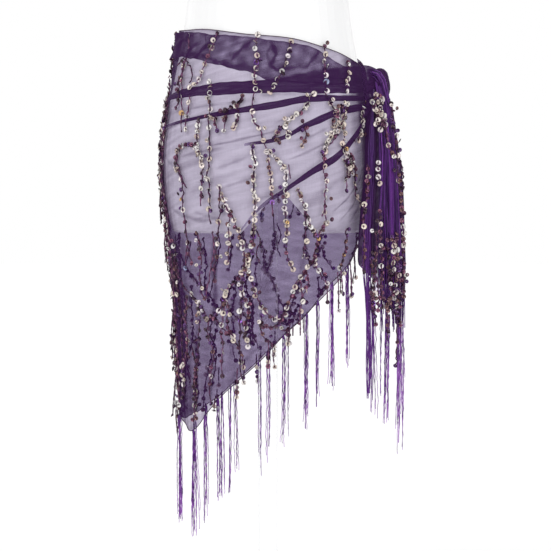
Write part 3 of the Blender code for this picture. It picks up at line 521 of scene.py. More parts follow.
def outwards(angle, height):
    """The level direction away from the hips at a place."""
    half_width = read(CLOTH, "height", "half_width", height)
    half_depth = read(CLOTH, "height", "half_depth", height)
    way = np.stack(np.broadcast_arrays(-np.cos(angle) / half_width, -np.sin(angle) / half_depth, 0.0), -1)
    return way / np.linalg.norm(way, axis=-1, keepdims=True)


def cloth_point(angle, height, out=0.0):
    """The place at an angle and a height, moved out from the cloth's inner face."""
    angle, height = np.broadcast_arrays(np.asarray(angle, float), np.asarray(height, float))
    half_width = read(CLOTH, "height", "half_width", height)
    half_depth = read(CLOTH, "height", "half_depth", height)
    place = np.stack((-half_width * np.cos(angle), -half_depth * np.sin(angle), height), -1)
    return place + outwards(angle, height) * (out + drape(angle, height))[..., None]


def along_cloth(angle, height):
    """An angle and a height as two lengths on the cloth."""
    return np.stack((np.asarray(angle) * GIRTH_RADIUS, np.asarray(height)), -1)


def near_route(route, angle, height):
    """Distance from each place to a route on the cloth, and how far along the route it is, from 0 to 1."""
    places = along_cloth(angle, height)
    corners = along_cloth(*np.array(route).T)
    lengths = np.linalg.norm(np.diff(corners, axis=0), axis=1)
    total = lengths.sum()
    nearest = np.full(places.shape[:-1], 1.0)
    share = np.zeros(places.shape[:-1])
    passed = 0.0
    for start, end, length in zip(corners, corners[1:], lengths):
        t = np.clip(((places - start) @ (end - start)) / length**2, 0.0, 1.0)
        distance = np.linalg.norm(places - start - t[..., None] * (end - start), axis=-1)
        closer = distance < nearest
        nearest = np.where(closer, distance, nearest)
        share = np.where(closer, (passed + t * length) / total, share)
        passed += length
    return nearest, share


def creased(creases, angle, height):
    """The relief and the added layers of a set of creases."""
    relief = np.zeros(angle.shape)
    density = np.zeros(angle.shape)
    for crease in creases:
        distance, share = near_route(crease.route, angle, height)
        fade = ramp(share, 0.0, 0.22) * ramp(-share, -1.0, -0.78)
        waver = 1 + 0.3 * np.sin(17 * share + 40 * crease.width / 0.003)
        line = np.exp(-((distance / (crease.width * waver)) ** 2)) * fade
        relief += crease.depth * line
        density += crease.density * line
    return relief, density


# ---------------------------------------------------------------- making meshes
def new_object(name, verts, faces, material, attributes=None):
    """A smooth-shaded mesh object; attributes are values for each vertex, by name."""
    mesh = bpy.data.meshes.new(name)
    mesh.from_pydata(np.asarray(verts, float).tolist(), [], faces)
    for label, values in (attributes or {}).items():
        values = np.asarray(values, np.float32)
        if values.ndim == 1:
            mesh.attributes.new(label, "FLOAT", "POINT").data.foreach_set("value", values)
        else:
            mesh.attributes.new(label, "FLOAT_VECTOR", "POINT").data.foreach_set("vector", values.ravel())
    mesh.shade_smooth()
    made = bpy.data.objects.new(name, mesh)
    made.data.materials.append(material)
    bpy.context.scene.collection.objects.link(made)
    return made


def grid_faces(rows, cols):
    """Faces between rows of points, whose vertices are numbered row by row."""
    first = (np.arange(rows - 1)[:, None] * cols + np.arange(cols - 1)[None, :]).ravel()
    return np.stack((first, first + 1, first + cols + 1, first + cols), -1)


def pair(across, along):
    """Two lengths at each point of a sheet, for its weave."""
    return np.stack(np.broadcast_arrays(across, along), -1)


def cloth_object(name, points, layers, weave):
    """A sheet from a table of points, with how many layers of cloth it stands for at each."""
    rows, cols = points.shape[:2]
    made = new_object(
        name,
        points.reshape(-1, 3),
        grid_faces(rows, cols).tolist(),
        MESH,
        {"layers": layers.ravel(), "weave": np.dstack((weave, np.zeros((rows, cols)))).reshape(-1, 3)},
    )
    made.visible_shadow = False
    made.visible_diffuse = False
    return made


def resample(points, count):
    """Points at even distances along a smooth curve through some points."""
    points = np.asarray(points, float)
    knots = np.arange(len(points), dtype=float)
    fine = np.linspace(0, len(points) - 1, 24 * len(points))
    curve = np.stack([smooth(knots, axis, fine) for axis in points.T], -1)
    run = np.concatenate(([0.0], np.cumsum(np.linalg.norm(np.diff(curve, axis=0), axis=1))))
    wanted = np.linspace(0, run[-1], count)
    return np.stack([np.interp(wanted, run, axis) for axis in curve.T], -1)


def grey(tones):
    """A tone for each point, as the three numbers that a heap keeps."""
    return np.repeat(tones[:, None], 3, axis=1)


class Heap:
    """Collects many small shapes into one mesh."""

    def __init__(self):
        self.verts, self.faces, self.values, self.count = [], [], [], 0

    def add(self, verts, faces, value):
        self.verts.append(verts)
        self.faces += (np.asarray(faces) + self.count).tolist()
        self.values.append(np.broadcast_to(np.asarray(value, float), (len(verts), 3)))
        self.count += len(verts)

    def tube(self, path, radius, sides, value):
        """A tube along a path, whose radius may change along it."""
        path = np.asarray(path, float)
        tangent = np.gradient(path, axis=0)
        tangent /= np.linalg.norm(tangent, axis=1, keepdims=True) + 1e-12
        spare = np.eye(3)[np.argmin(np.abs(tangent.mean(0)))]
        side = np.cross(tangent, spare)
        side /= np.linalg.norm(side, axis=1, keepdims=True)
        other = np.cross(tangent, side)
        turns = 2 * np.pi * np.arange(sides) / sides
        radius = np.broadcast_to(radius, (len(path),))[:, None, None]
        around = np.cos(turns)[None, :, None] * side[:, None] + np.sin(turns)[None, :, None] * other[:, None]
        verts = (path[:, None] + radius * around).reshape(-1, 3)
        ring = np.arange(sides)
        low = (np.arange(len(path) - 1)[:, None] * sides + ring[None, :]).ravel()
        low_next = (np.arange(len(path) - 1)[:, None] * sides + ((ring + 1) % sides)[None, :]).ravel()
        faces = np.stack((low, low_next, low_next + sides, low + sides), -1)
        shade = np.asarray(value, float)
        self.add(verts, faces, shade if shade.ndim == 1 else np.repeat(shade, sides, axis=0))

    def to_object(self, name, material):
        return new_object(
            name, np.concatenate(self.verts), self.faces, material, {"tone": np.concatenate(self.values)}
        )


# ---------------------------------------------------------------- materials
class Nodes:
    """A short way to build a material's nodes."""

    def __init__(self, name):
        self.material = bpy.data.materials.new(name)
        self.material.use_nodes = True
        self.tree = self.material.node_tree
        self.shader = self.tree.nodes["Principled BSDF"]
        self.output = self.tree.nodes["Material Output"]

    def node(self, kind, **settings):
        made = self.tree.nodes.new(kind)
        for key, value in settings.items():
            setattr(made, key, value)
        return made

    def link(self, source, target):
        self.tree.links.new(source, target)

    def feed(self, socket, value):
        """Sets a socket, or links it where the value is another socket."""
        if isinstance(value, bpy.types.NodeSocket):
            self.link(value, socket)
        else:
            socket.default_value = value

    def math(self, operation, a, b=0.0, clamp=False):
        made = self.node("ShaderNodeMath", operation=operation, use_clamp=clamp)
        self.feed(made.inputs[0], a)
        self.feed(made.inputs[1], b)
        return made.outputs[0]

    def attribute(self, name):
        return self.node("ShaderNodeAttribute", attribute_name=name)

    def noise(self, vector, scale, detail=2.0, rough=0.5):
        made = self.node("ShaderNodeTexNoise")
        self.link(vector, made.inputs["Vector"])
        made.inputs["Scale"].default_value = scale
        made.inputs["Detail"].default_value = detail
        made.inputs["Roughness"].default_value = rough
        return made.outputs["Fac"]

    def stretch(self, vector, scale):
        made = self.node("ShaderNodeMapping")
        self.link(vector, made.inputs["Vector"])
        made.inputs["Scale"].default_value = scale
        return made.outputs["Vector"]

    def blend(self, share, a, b):
        """A colour between two."""
        made = self.node("ShaderNodeMix", data_type="RGBA")
        self.feed(made.inputs["Factor"], share)
        self.feed(made.inputs["A"], a)
        self.feed(made.inputs["B"], b)
        return made.outputs["Result"]

    def bump(self, height, strength, distance):
        made = self.node("ShaderNodeBump")
        self.link(height, made.inputs["Height"])
        made.inputs["Strength"].default_value = strength
        made.inputs["Distance"].default_value = distance
        self.link(made.outputs["Normal"], self.shader.inputs["Normal"])

    def surface(self, **values):
        """Sets the Principled shader's sockets; underscores in the names stand for spaces."""
        for key, value in values.items():
            self.feed(self.shader.inputs[key.replace("_", " ")], value)

    def scaled(self, value, by, plus):
        return self.math("ADD", self.math("MULTIPLY", value, by), plus)

    def see_through(self, cover, tint):
        """Lets tinted light by where cover is under 1."""
        clear = self.node("ShaderNodeBsdfTransparent")
        clear.inputs["Color"].default_value = tint
        mix = self.node("ShaderNodeMixShader")
        self.link(cover, mix.inputs[0])
        self.link(clear.outputs[0], mix.inputs[1])
        self.link(self.shader.outputs[0], mix.inputs[2])
        self.link(mix.outputs[0], self.output.inputs["Surface"])

    def object_place(self):
        return self.node("ShaderNodeTexCoord").outputs["Object"]


def violet_mesh():
    """Sheer violet net. What shows through it fades with the layers; its threads run in a fine grid."""
    n = Nodes("violet_net")
    weave = n.attribute("weave").outputs["Vector"]
    layers = n.attribute("layers").outputs["Fac"]
    split = n.node("ShaderNodeSeparateXYZ")
    n.link(weave, split.inputs[0])
    lines = []
    for axis in ("X", "Y"):
        turn = n.math("MULTIPLY", split.outputs[axis], 2 * math.pi / THREAD_PITCH)
        lines.append(n.math("SINE", turn))
    grid = n.math("ADD", lines[0], lines[1])
    slubs = n.math(
        "ADD",
        n.noise(n.stretch(weave, (900.0, 60.0, 1.0)), 1.0),
        n.noise(n.stretch(weave, (60.0, 900.0, 1.0)), 1.0),
    )
    patches = n.noise(weave, 34.0, 3.0)
    aslant = n.node("ShaderNodeMapping", vector_type="TEXTURE")
    n.link(weave, aslant.inputs["Vector"])
    aslant.inputs["Rotation"].default_value = (0.0, 0.0, math.radians(16.0))
    aslant.inputs["Scale"].default_value = (0.110, 0.0085, 1.0)
    wrinkles = n.noise(aslant.outputs["Vector"], 1.0, 3.0)
    both = n.math("ADD", n.math("MULTIPLY", patches, 0.40), n.math("MULTIPLY", wrinkles, 1.10))
    uneven = n.math("ADD", both, 0.26)
    fine = n.scaled(slubs, 0.40, 0.60)
    worked = n.scaled(grid, 0.06, 1.0)
    thick = n.math("MULTIPLY", n.math("MULTIPLY", layers, uneven), n.math("MULTIPLY", fine, worked))
    cover = n.math("SUBTRACT", 1.0, n.math("POWER", SEEN_THROUGH, thick), clamp=True)
    colour = n.blend(n.math("MULTIPLY", slubs, 0.5), (0.016, 0.004, 0.026, 1.0), (0.054, 0.015, 0.082, 1.0))
    n.surface(Base_Color=colour, Roughness=0.70, Specular_IOR_Level=0.05)
    n.surface(Sheen_Weight=0.04, Sheen_Roughness=0.45, Sheen_Tint=(0.62, 0.42, 0.80, 1.0))
    n.bump(slubs, 0.35, 0.0004)
    n.see_through(cover, (0.872, 0.808, 0.978, 1.0))
    return n.material


def toned(name, low, middle, high, roughness, sheen):
    """Yarn or strands, whose colour runs from low through middle to high with the tone given to each."""
    n = Nodes(name)
    tone = n.attribute("tone").outputs["Fac"]
    fibres = n.noise(n.stretch(n.object_place(), (900.0, 900.0, 120.0)), 1.0, 2.0)
    share = n.math("ADD", tone, n.math("MULTIPLY", n.math("SUBTRACT", fibres, 0.5), 0.5), clamp=True)
    twice = n.math("MULTIPLY", share, 2.0)
    deep = n.blend(n.math("MINIMUM", twice, 1.0), low, middle)
    colour = n.blend(n.math("SUBTRACT", twice, 1.0, clamp=True), deep, high)
    n.surface(Base_Color=colour, Roughness=roughness, Specular_IOR_Level=0.4)
    n.surface(Sheen_Weight=sheen, Sheen_Roughness=0.4, Sheen_Tint=(0.75, 0.55, 0.95, 1.0))
    n.bump(fibres, 0.5, 0.0003)
    return n.material


def sequin(name, roughness, metal, coat):
    """Metallised film: each disc has its own tone, a little cloudy and scuffed; the tone also carries painted
    shade round each disc's hole and at its rim.
    """
    n = Nodes(name)
    tone = n.attribute("tone").outputs["Vector"]
    cloud = n.noise(n.object_place(), 420.0, 2.0)
    dim = n.blend(0.6, tone, (0.08, 0.04, 0.05, 1.0))
    worn = n.scaled(cloud, 0.22, roughness - 0.10)
    n.surface(Base_Color=n.blend(n.math("MULTIPLY", cloud, 0.55), tone, dim), Metallic=metal, Roughness=worn)
    n.surface(Coat_Weight=coat, Coat_Roughness=0.08)
    return n.material


def form_plastic():
    """White moulded plastic with a soft satin skin."""
    n = Nodes("satin_plastic")
    skin = n.noise(n.object_place(), 900.0, 2.0)
    tint = n.noise(n.object_place(), 6.0, 2.0)
    n.surface(
        Base_Color=n.blend(tint, (0.87, 0.87, 0.88, 1.0), (0.91, 0.91, 0.91, 1.0)),
        Roughness=n.scaled(skin, 0.10, 0.32),
        Specular_IOR_Level=0.4,
    )
    n.bump(skin, 0.08, 0.0002)
    return n.material


def clear_acrylic():
    """Clear acrylic, seen by the gloss on its sides and a faint haze."""
    n = Nodes("clear_rod")
    haze = n.noise(n.object_place(), 60.0, 2.0)
    rim = n.node("ShaderNodeLayerWeight")
    rim.inputs["Blend"].default_value = 0.12
    n.surface(
        Base_Color=(0.90, 0.91, 0.92, 1.0), Roughness=n.scaled(haze, 0.05, 0.04),
        Specular_IOR_Level=0.6,
    )
    shown = n.math("ADD", n.math("MULTIPLY", rim.outputs["Fresnel"], 0.20), n.math("MULTIPLY", haze, 0.03))
    n.see_through(shown, (0.985, 0.988, 0.99, 1.0))
    return n.material


def base_metal():
    """White powder coat, with the slight grain of the powder."""
    n = Nodes("powder_coat")
    grain = n.noise(n.object_place(), 1400.0, 3.0)
    tint = n.noise(n.object_place(), 8.0, 2.0)
    n.surface(
        Base_Color=n.blend(tint, (0.80, 0.80, 0.81, 1.0), (0.86, 0.86, 0.86, 1.0)),
        Roughness=n.scaled(grain, 0.2, 0.30),
        Coat_Weight=0.2,
    )
    n.bump(grain, 0.2, 0.0002)
    return n.material


def floor_white():
    n = Nodes("pale_floor")
    tint = n.noise(n.object_place(), 0.6, 2.0)
    n.surface(
        Base_Color=n.blend(tint, (0.93, 0.93, 0.93, 1.0), (0.95, 0.95, 0.95, 1.0)),
        Roughness=0.9, Specular_IOR_Level=0.0, Emission_Color=(1.0, 1.0, 1.0, 1.0), Emission_Strength=0.12,
    )
    return n.material


MESH = violet_mesh()
STRAND = toned(
    "strand", (0.030, 0.004, 0.070, 1.0), (0.128, 0.016, 0.240, 1.0), (0.430, 0.165, 0.610, 1.0), 0.45, 0.03
)
YARN = toned(
    "yarn", (0.016, 0.004, 0.020, 1.0), (0.085, 0.022, 0.070, 1.0), (0.240, 0.090, 0.190, 1.0), 0.8, 0.1
)
LIGHT_SEQUIN = sequin("pale_film", 0.28, 0.10, 0.6)
DARK_SEQUIN = sequin("dark_film", 0.26, 0.70, 0.5)


# ---------------------------------------------------------------- the cloth
def fine_ripple(angle, height):
    """Small uneven ripples of the hanging cloth; they grow downwards."""
    grown = ramp(-height, -0.74, -0.50)
    wave = np.sin(38 * angle + 5 * np.sin(9 * height) + 1.3 * np.sin(4 * angle))
    second = np.sin(61 * angle - 14 * height + 2.0 * np.sin(6 * angle))
    return grown * (0.6 * wave + 0.4 * second)


def side_gather(angle, height):
    """Layers gathered along the side fold; the gather spreads below the hips."""
    low = ramp(-height, -0.72, -0.66)
    pleats = 0.75 + 0.25 * np.sin(64 * angle + 3 * np.sin(11 * height))
    return (3.6 * bell(angle, 0.0, 0.17) + (1.1 + 3.8 * low) * bell(angle, 0.0, 0.40)) * pleats


def make_wrap(name, start, end, cols, rows, hem, top, creases, single):
    """A stretch of the hanging cloth, from its hem to the waist; single is what one layer of it counts as."""
    angles = start + (end - start) * np.linspace(0, 1, cols)
    low, high = edge_height(hem, angles), edge_height(top, angles)
    shares = np.linspace(0, 1, rows)[:, None]
    angle = np.broadcast_to(angles, (rows, cols))
    height = low * (1 - shares) + high * shares
    relief, density = creased(creases, angle, height)
    ripple = fine_ripple(angle, height)
    sway = sum(bell(angle, fold.angle, fold.width) * ramp(-height, -fold.start, -0.45) for fold in FOLDS)
    from_knot = max(abs(start), abs(end)) - np.abs(angle)
    near_knot = 1.3 * ramp(-from_knot, -0.46, -0.28)
    near_knot = near_knot + 5.0 * ramp(-from_knot, -0.28, -0.16) * ramp(height, 0.72, 0.78)
    layers = single + 1.35 * density + side_gather(angle, height) + 0.13 * ripple + 0.26 * sway + near_knot
    points = cloth_point(angle, height, SKIN + relief + 0.0004 * ripple * ramp(-height, -0.70, -0.60))
    return cloth_object(name, points, layers, along_cloth(angle, height))


def band_strip(angle):
    """How much of the single cloth shows above the turned-over edge."""
    front = 0.003 + 0.004 * bell(angle, 0.9, 0.25) + 0.004 * bell(angle, 1.75, 0.3)
    return front + 0.016 * bell(angle, 2.45, 0.26)


def make_band(name, start, end, cols, rows, turn, top, creases):
    """The turned-over waist edge. It puckers along its fold and is darkest towards the knot."""
    angles = np.linspace(start, end, cols)
    frill = 0.0008 * np.sin(19 * angles) + 0.0004 * np.sin(47 * angles + 1)
    low = edge_height(turn, angles) + frill - 0.0055 * ramp(np.abs(angles), 1.35, 1.60)
    high = edge_height(top, angles) - band_strip(np.abs(angles)) + 0.5 * frill
    shares = np.linspace(0, 1, rows)[:, None]
    angle = np.broadcast_to(angles, (rows, cols))
    height = low * (1 - shares) + high * shares
    relief, density = creased(creases, angle, height)
    pucker = np.sin(31 * angle + 90 * height) * np.sin(170 * height - 9 * angle)
    edge = bell(shares, 0.0, 0.06) + 0.6 * bell(shares, 1.0, 0.05)
    layers = 2.4 + 2.6 * density + 0.8 * pucker + 1.8 * edge
    dark = 0.938 + 0.017 * ramp(np.abs(angle), 1.6, 2.4) + 0.022 * ramp(np.abs(angle), 2.4, 2.8)
    layers += 4.4 * ramp(np.abs(angle), 1.45, 1.75) * ramp(dark - height, -0.003, 0.003)
    bunched = bell(angle, 0.03, 0.22)
    uneven = 0.6 + 0.4 * np.sin(140 * height + 9 * angle)
    layers += 3.0 * bell(angle, 0.0, 0.45) + 4.0 * bell(angle, 0.0, 0.30) * uneven
    lumps = 0.5 + 0.5 * np.sin(150 * height + 3 * angle) * np.cos(11 * angle)
    out = CLOTH_WALL + LIE + SKIN + relief + 0.0005 * pucker + 0.0045 * bunched * lumps
    points = cloth_point(angle, height, out)
    return cloth_object(name, points, layers, along_cloth(angle, height))


def make_pleat(name, rows, fading, cols=200, across=17):
    """A gathered pleat: an arched strip with fine folds, whose layers fade in from its thin end."""
    angles = np.linspace(rows[0].angle, rows[-1].angle, cols)
    middle = read(rows, "angle", "height", angles)
    swell = 1 + 0.05 * np.sin(13 * angles) + 0.03 * np.sin(37 * angles)
    width = read(rows, "angle", "width", angles) * swell
    shares = np.linspace(-0.5, 0.5, across)[:, None]
    angle = np.broadcast_to(angles, (across, cols))
    height = middle + shares * width
    arch = np.sqrt(np.clip(1 - (2 * shares) ** 2, 0, 1))
    folds = np.sin(shares * 16 + 2.2 * np.sin(5 * angle)) + 0.5 * np.sin(shares * 31 - 7 * angle)
    thin = rows[0].angle if angles[-1] > 0 else rows[-1].angle
    fade = ramp(np.abs(angle - thin), 0.0, fading)
    out = CLOTH_WALL + LIE + 0.0016 * arch + 0.00022 * folds * arch
    layers = (6.4 + 1.0 * folds + 1.4 * bell(np.abs(shares), 0.5, 0.08)) * (0.10 + 0.90 * fade)
    points = cloth_point(angle, height, out)
    return cloth_object(name, points, layers + 0 * angle, along_cloth(angle, height))


def tail_point(rows, turns, share, height):
    """A place on a tail: share runs across it and the cloth zigzags in soft pleats."""
    left, right = (
        np.stack([*(read(rows, "height", side + axis, height) for axis in "xy"), height], -1)
        for side in ("left_", "right_")
    )
    along = (right - left) / np.linalg.norm(right - left, axis=-1, keepdims=True)
    away = np.stack([along[..., 1], -along[..., 0], 0 * height], -1)
    depth = read(rows, "height", "depth", height)
    zigzag = np.sin(2 * np.pi * turns * share) + 0.10 * np.sin(2 * np.pi * 3.3 * turns * share + 14 * height)
    return left + (right - left) * np.asarray(share)[..., None] + away * (depth * zigzag)[..., None]


def tail_foot(cut, share):
    """Height of a tail's lower edge, which comes to a corner."""
    before = cut.left_height + (cut.corner_height - cut.left_height) * share / cut.corner
    rest = (share - cut.corner) / (1 - cut.corner)
    after = cut.corner_height + (cut.right_height - cut.corner_height) * rest
    return np.where(share < cut.corner, before, after)


def make_tail(name, rows, cut, cols=110, levels=110):
    rows = tuple(reversed(rows))
    shares = np.broadcast_to(np.linspace(cut.inner, 1, cols), (levels, cols))
    up = np.linspace(0, 1, levels)[:, None]
    foot = tail_foot(cut, shares)
    height = foot * (1 - up) + rows[-1].height * up
    points = tail_point(rows, cut.turns, shares, height)
    folds = np.sin(2 * np.pi * cut.turns * 2 * shares)
    layers = 9.0 + 2.4 * folds + 2.0 * ramp(height, 0.72, 0.90)
    layers -= 7.0 * ramp(-height, -0.665, -0.615)
    return cloth_object(name, points, layers, pair(shares * 0.16, height))


def make_knot():
    """The tie's gathered lump; the turn of pleated cloth that wraps it is made on its own."""
    polar = np.linspace(0.02, np.pi - 0.02, 90)[:, None]
    turn = np.linspace(0, 2 * np.pi, 121)[None, :]
    lobe = 1 + 0.10 * np.cos(2 * (turn + polar)) * np.sin(polar)
    folds = 0.045 * np.sin(9 * turn + 6 * polar) + 0.025 * np.sin(17 * turn - 5 * polar + 1)
    reach = np.sin(polar) * (lobe + folds)
    offset = np.dstack((reach * np.cos(turn), reach * np.sin(turn), -np.cos(polar) + 0 * turn))
    points = KNOT_CENTRE + offset * KNOT_RADII
    layers = 6.5 + 12 * folds
    return cloth_object("scarf_knot", points, layers, pair(turn * 0.02, polar * 0.02))


def make_knot_turn():
    """The turn of cloth that goes over the knot."""
    across, along = 25, 80
    share = np.linspace(-0.5, 0.5, across)[:, None]
    turn = np.linspace(-0.65, 1.35, along)[None, :] * np.pi
    width = 0.019 + 0.003 * np.cos(turn)
    arch = np.sqrt(np.clip(1 - (2 * share) ** 2, 0, 1))
    crest = 1.10 + 0.05 * arch + 0.025 * np.sin(share * 19 + 1.5 * np.sin(turn))
    axis = np.array((0.55, -0.75, 0.35))
    axis /= np.linalg.norm(axis)
    first = np.cross(axis, (0.0, 0.0, 1.0))
    first /= np.linalg.norm(first)
    second = np.cross(axis, first)
    circle = first * np.cos(turn)[..., None] + second * np.sin(turn)[..., None]
    points = KNOT_CENTRE + (circle * crest[..., None]) * KNOT_RADII * 0.88 + axis * (share * width)[..., None]
    points[..., 2] -= 0.003
    layers = 6.0 + 1.2 * np.sin(share * 19) + 0 * turn
    return cloth_object("knot_turn", points, layers, pair(turn * 0.02, share * 0.02))


def make_knot_gather(name, angle_low, angle_high, low, high, lie, end_low, end_high):
    """The pleated cloth where a stretch of the scarf runs from the hips into the knot."""
    along, across = 24, 60
    share = np.linspace(0, 1, across)[:, None]
    run = np.linspace(0, 1, along)[None, :]
    heights = low + (high - low) * share[:, 0]
    angle = angle_low + (angle_high - angle_low) * share[:, 0] ** 0.7
    start = cloth_point(angle, heights, lie)[:, None]
    end = (np.array(end_low) + (np.array(end_high) - np.array(end_low)) * share)[:, None]
    folds = np.sin(40 * share + 2.5 * run) + 0.5 * np.sin(83 * share - 4 * run + 1)
    way = outwards(angle, heights)[:, None]
    bulge = 0.0050 * np.sin(np.pi * run * 0.75) + 0.0008 * folds * np.sin(np.pi * np.clip(run + 0.2, 0, 1))
    points = start + (end - start) * run[..., None] + way * bulge[..., None]
    points[..., 2] += 0.006 * np.sin(np.pi * run) * (share - 0.5)
    layers = (5.5 + 0.9 * folds) * ramp(run, -0.12, 0.30)
    return cloth_object(name, points, layers, pair(0.03 * run, heights[:, None]))


def make_hems(heap, hem, top, start, end):
    """A rolled hem along both edges of a stretch."""
    angles = np.linspace(start, end, 240)
    for edge in (hem, top):
        heap.tube(cloth_point(angles, edge_height(edge, angles), SKIN), HEM_RADIUS, 5, (0.15, 0.15, 0.15))


# ---------------------------------------------------------------- sequins and yarn
def disc():
    """A cupped sequin with a hole in its middle: unit radius, its hollow side along +Z."""
    # Each ring's shade is painted shade: it darkens the disc's colour to near black round the hole and to
    # dark at the rim.
    Ring = namedtuple("Ring", "radius height shade")
    rings = (
        Ring(0.12, -0.22, 0.05), Ring(0.20, -0.20, 0.85), Ring(0.60, -0.10, 1.00), Ring(0.90, 0.06, 0.95),
        Ring(1.00, 0.13, 0.30),
    )
    sides = 12
    turns = 2 * np.pi * np.arange(sides) / sides
    verts = [np.stack((r * np.cos(turns), r * np.sin(turns), z + 0 * turns), -1) for r, z, _ in rings]
    painted_shades = np.repeat([shade for _, _, shade in rings], sides)
    faces = []
    for level in range(len(rings) - 1):
        for i in range(sides):
            j = (i + 1) % sides
            inner, outer = level * sides, (level + 1) * sides
            faces.append((inner + i, inner + j, outer + j, outer + i))
    return np.concatenate(verts), np.array(faces), painted_shades[:, None]


DISC_VERTS, DISC_FACES, DISC_PAINTED_SHADES = disc()
PALE_TONES = np.array((
    (1.00, 0.94, 0.89), (1.00, 0.97, 0.96), (0.98, 0.87, 0.82), (0.93, 0.81, 0.70), (1.00, 0.91, 0.95),
    (0.80, 0.65, 0.58),
))
DEEP_TONES = np.array((
    (0.12, 0.03, 0.08), (0.20, 0.09, 0.09), (0.11, 0.03, 0.19), (0.25, 0.07, 0.15), (0.05, 0.02, 0.04),
))
GLINT_TONES = np.array(((0.36, 0.14, 0.66), (0.80, 0.50, 0.20), (0.34, 0.38, 0.62)))


def add_sequin(heaps, rng, place, facing, pale, size=1.0):
    """One disc, facing a direction but for a random tilt, with the two stitches that hold it."""
    pale_heap, dark_heap, yarn_heap = heaps
    facing = facing + rng.normal(0, 0.30, 3)
    if rng.random() < 0.12:
        facing = facing + rng.normal(0, 0.9, 3)
    facing = facing / np.linalg.norm(facing)
    side = np.cross(facing, (0.0, 0.0, 1.0))
    side /= np.linalg.norm(side) + 1e-9
    up = np.cross(facing, side)
    spin = rng.random() * 2 * np.pi
    first = side * math.cos(spin) + up * math.sin(spin)
    second = np.cross(facing, first)
    radius = SEQUIN_RADIUS * size * (0.90 + 0.16 * rng.random())
    verts = place + radius * (DISC_VERTS @ np.stack((first, second, facing)))
    if rng.random() < 0.025:
        tone = GLINT_TONES[rng.integers(len(GLINT_TONES))]
    else:
        table = PALE_TONES if pale else DEEP_TONES
        tone = table[rng.integers(len(table))] * (0.85 + 0.2 * rng.random())
    # The disc's tone times the painted shade of its rings, dark round the hole and at the rim.
    (pale_heap if pale else dark_heap).add(verts, DISC_FACES, tone * DISC_PAINTED_SHADES)
    for _ in range(2):
        turn = rng.random() * 2 * np.pi
        way = first * math.cos(turn) + second * math.sin(turn)
        steps = ((0.0, -0.05), (0.6, 0.10), (1.1, 0.12))
        stitch = [place + radius * (way * reach + facing * rise) for reach, rise in steps]
        yarn_heap.tube(stitch, STITCH_RADII, 3, (0.1, 0.1, 0.1))


def add_yarn(heap, rng, path, radius=YARN_RADIUS):
    """Fluffy yarn: a core that swells and changes its tone along its length, with short hairs that stand off
    it.
    """
    length = np.linalg.norm(np.diff(path, axis=0), axis=1).sum()
    count = max(4, int(length / PLY_STEP))
    path = resample(path, count)
    shade = 0.15 + 0.45 * rng.random() + 0.30 * np.sin(np.arange(count) * 1.7 + rng.random() * 6)
    swell = radius * (0.6 + 0.9 * rng.random(count))
    heap.tube(path, swell, 5, grey(np.clip(shade, 0, 1)))
    for _ in range(int(length / HAIR_SPACING)):
        root = path[rng.integers(count)]
        way = rng.normal(0, 1, 3)
        way /= np.linalg.norm(way)
        tip = root + way * (0.0016 + 0.0034 * rng.random())
        wide = np.cross(way, rng.normal(0, 1, 3))
        wide *= HAIR_HALF_WIDTH / np.linalg.norm(wide)
        tone = 0.2 + 0.8 * rng.random()
        heap.add(np.array((root - wide, root + wide, tip)), ((0, 1, 2),), (tone,) * 3)


def route_on_cloth(route, lie):
    """A route's angles and heights as points off the cloth, with the direction away from it at each."""
    route = np.array(route, float)
    count = max(6, 5 * len(route))
    knots = np.arange(len(route), dtype=float)
    fine = np.linspace(0, len(route) - 1, count)
    angle = smooth(knots, route[:, 0], fine)
    height = smooth(knots, route[:, 1], fine)
    return cloth_point(angle, height, lie), outwards(angle, height)


def add_chain(chain, heaps, rng):
    """A chain that is stitched to the cloth round the hips."""
    path, ways = route_on_cloth(chain.route, SEQUIN_LIE - 0.0012)
    string(chain, path, ways, heaps, rng)


def string(chain, path, ways, heaps, rng):
    """Yarn along a path with a chain's sequins on it, facing the ways."""
    path = path + rng.normal(0, 0.0008, path.shape)
    add_yarn(heaps[2], rng, path)
    if not chain.spacing:
        return
    length = np.linalg.norm(np.diff(path, axis=0), axis=1).sum()
    count = max(2, int(length / (0.84 * chain.spacing)) + 1)
    places = resample(path, count)
    facing = resample(ways, count)
    for place, way in zip(places, facing):
        jitter = rng.normal(0, 0.0009, 3)
        pale = rng.random() < chain.pale * (1.0 if place[2] > 0.70 else 0.62)
        add_sequin(heaps, rng, place + way * 0.0012 + jitter, way, pale, 1.0 if pale else 0.80)
        if rng.random() < (0.45 if chain.spacing < 0.0125 else 0.2):
            beside = np.cross(way, (0.0, 0.0, 1.0)) * rng.normal(0, 0.004)
            beside = beside + np.array((0, 0, rng.normal(0, 0.005)))
            add_sequin(heaps, rng, place + beside + way * 0.0022, way, rng.random() < 0.3, 0.75)


def add_dangle(dangle, heaps, rng):
    """A loose end of yarn with a knot or a small sequin at its tip."""
    yarn_heap = heaps[2]
    way = outwards(dangle.angle, dangle.height)
    top = cloth_point(dangle.angle, dangle.height, SEQUIN_LIE)
    drop = np.linspace(0, 1, 7)[:, None]
    swing = np.array((rng.normal(0, 0.003), -0.001, 0.0))
    path = top + drop * np.array((0, 0, -dangle.length)) + swing * drop**2 + way * 0.002 * np.sin(drop * 3)
    add_yarn(yarn_heap, rng, path, YARN_RADIUS * 0.9)
    knot = path[-1] + np.array(((0, 0, 0.001), (0, 0, 0), (0, 0, -0.0015)))
    yarn_heap.tube(knot, np.array((0.0006, 0.0014, 0.0004)), 6, (0.15, 0.15, 0.15))
    for number in range(dangle.sequins):
        share = 1 - 0.7 * number / max(dangle.sequins, 2)
        place = top + (path[-1] - top) * share + way * 0.001
        add_sequin(heaps, rng, place, way, rng.random() < 0.35, 0.85)


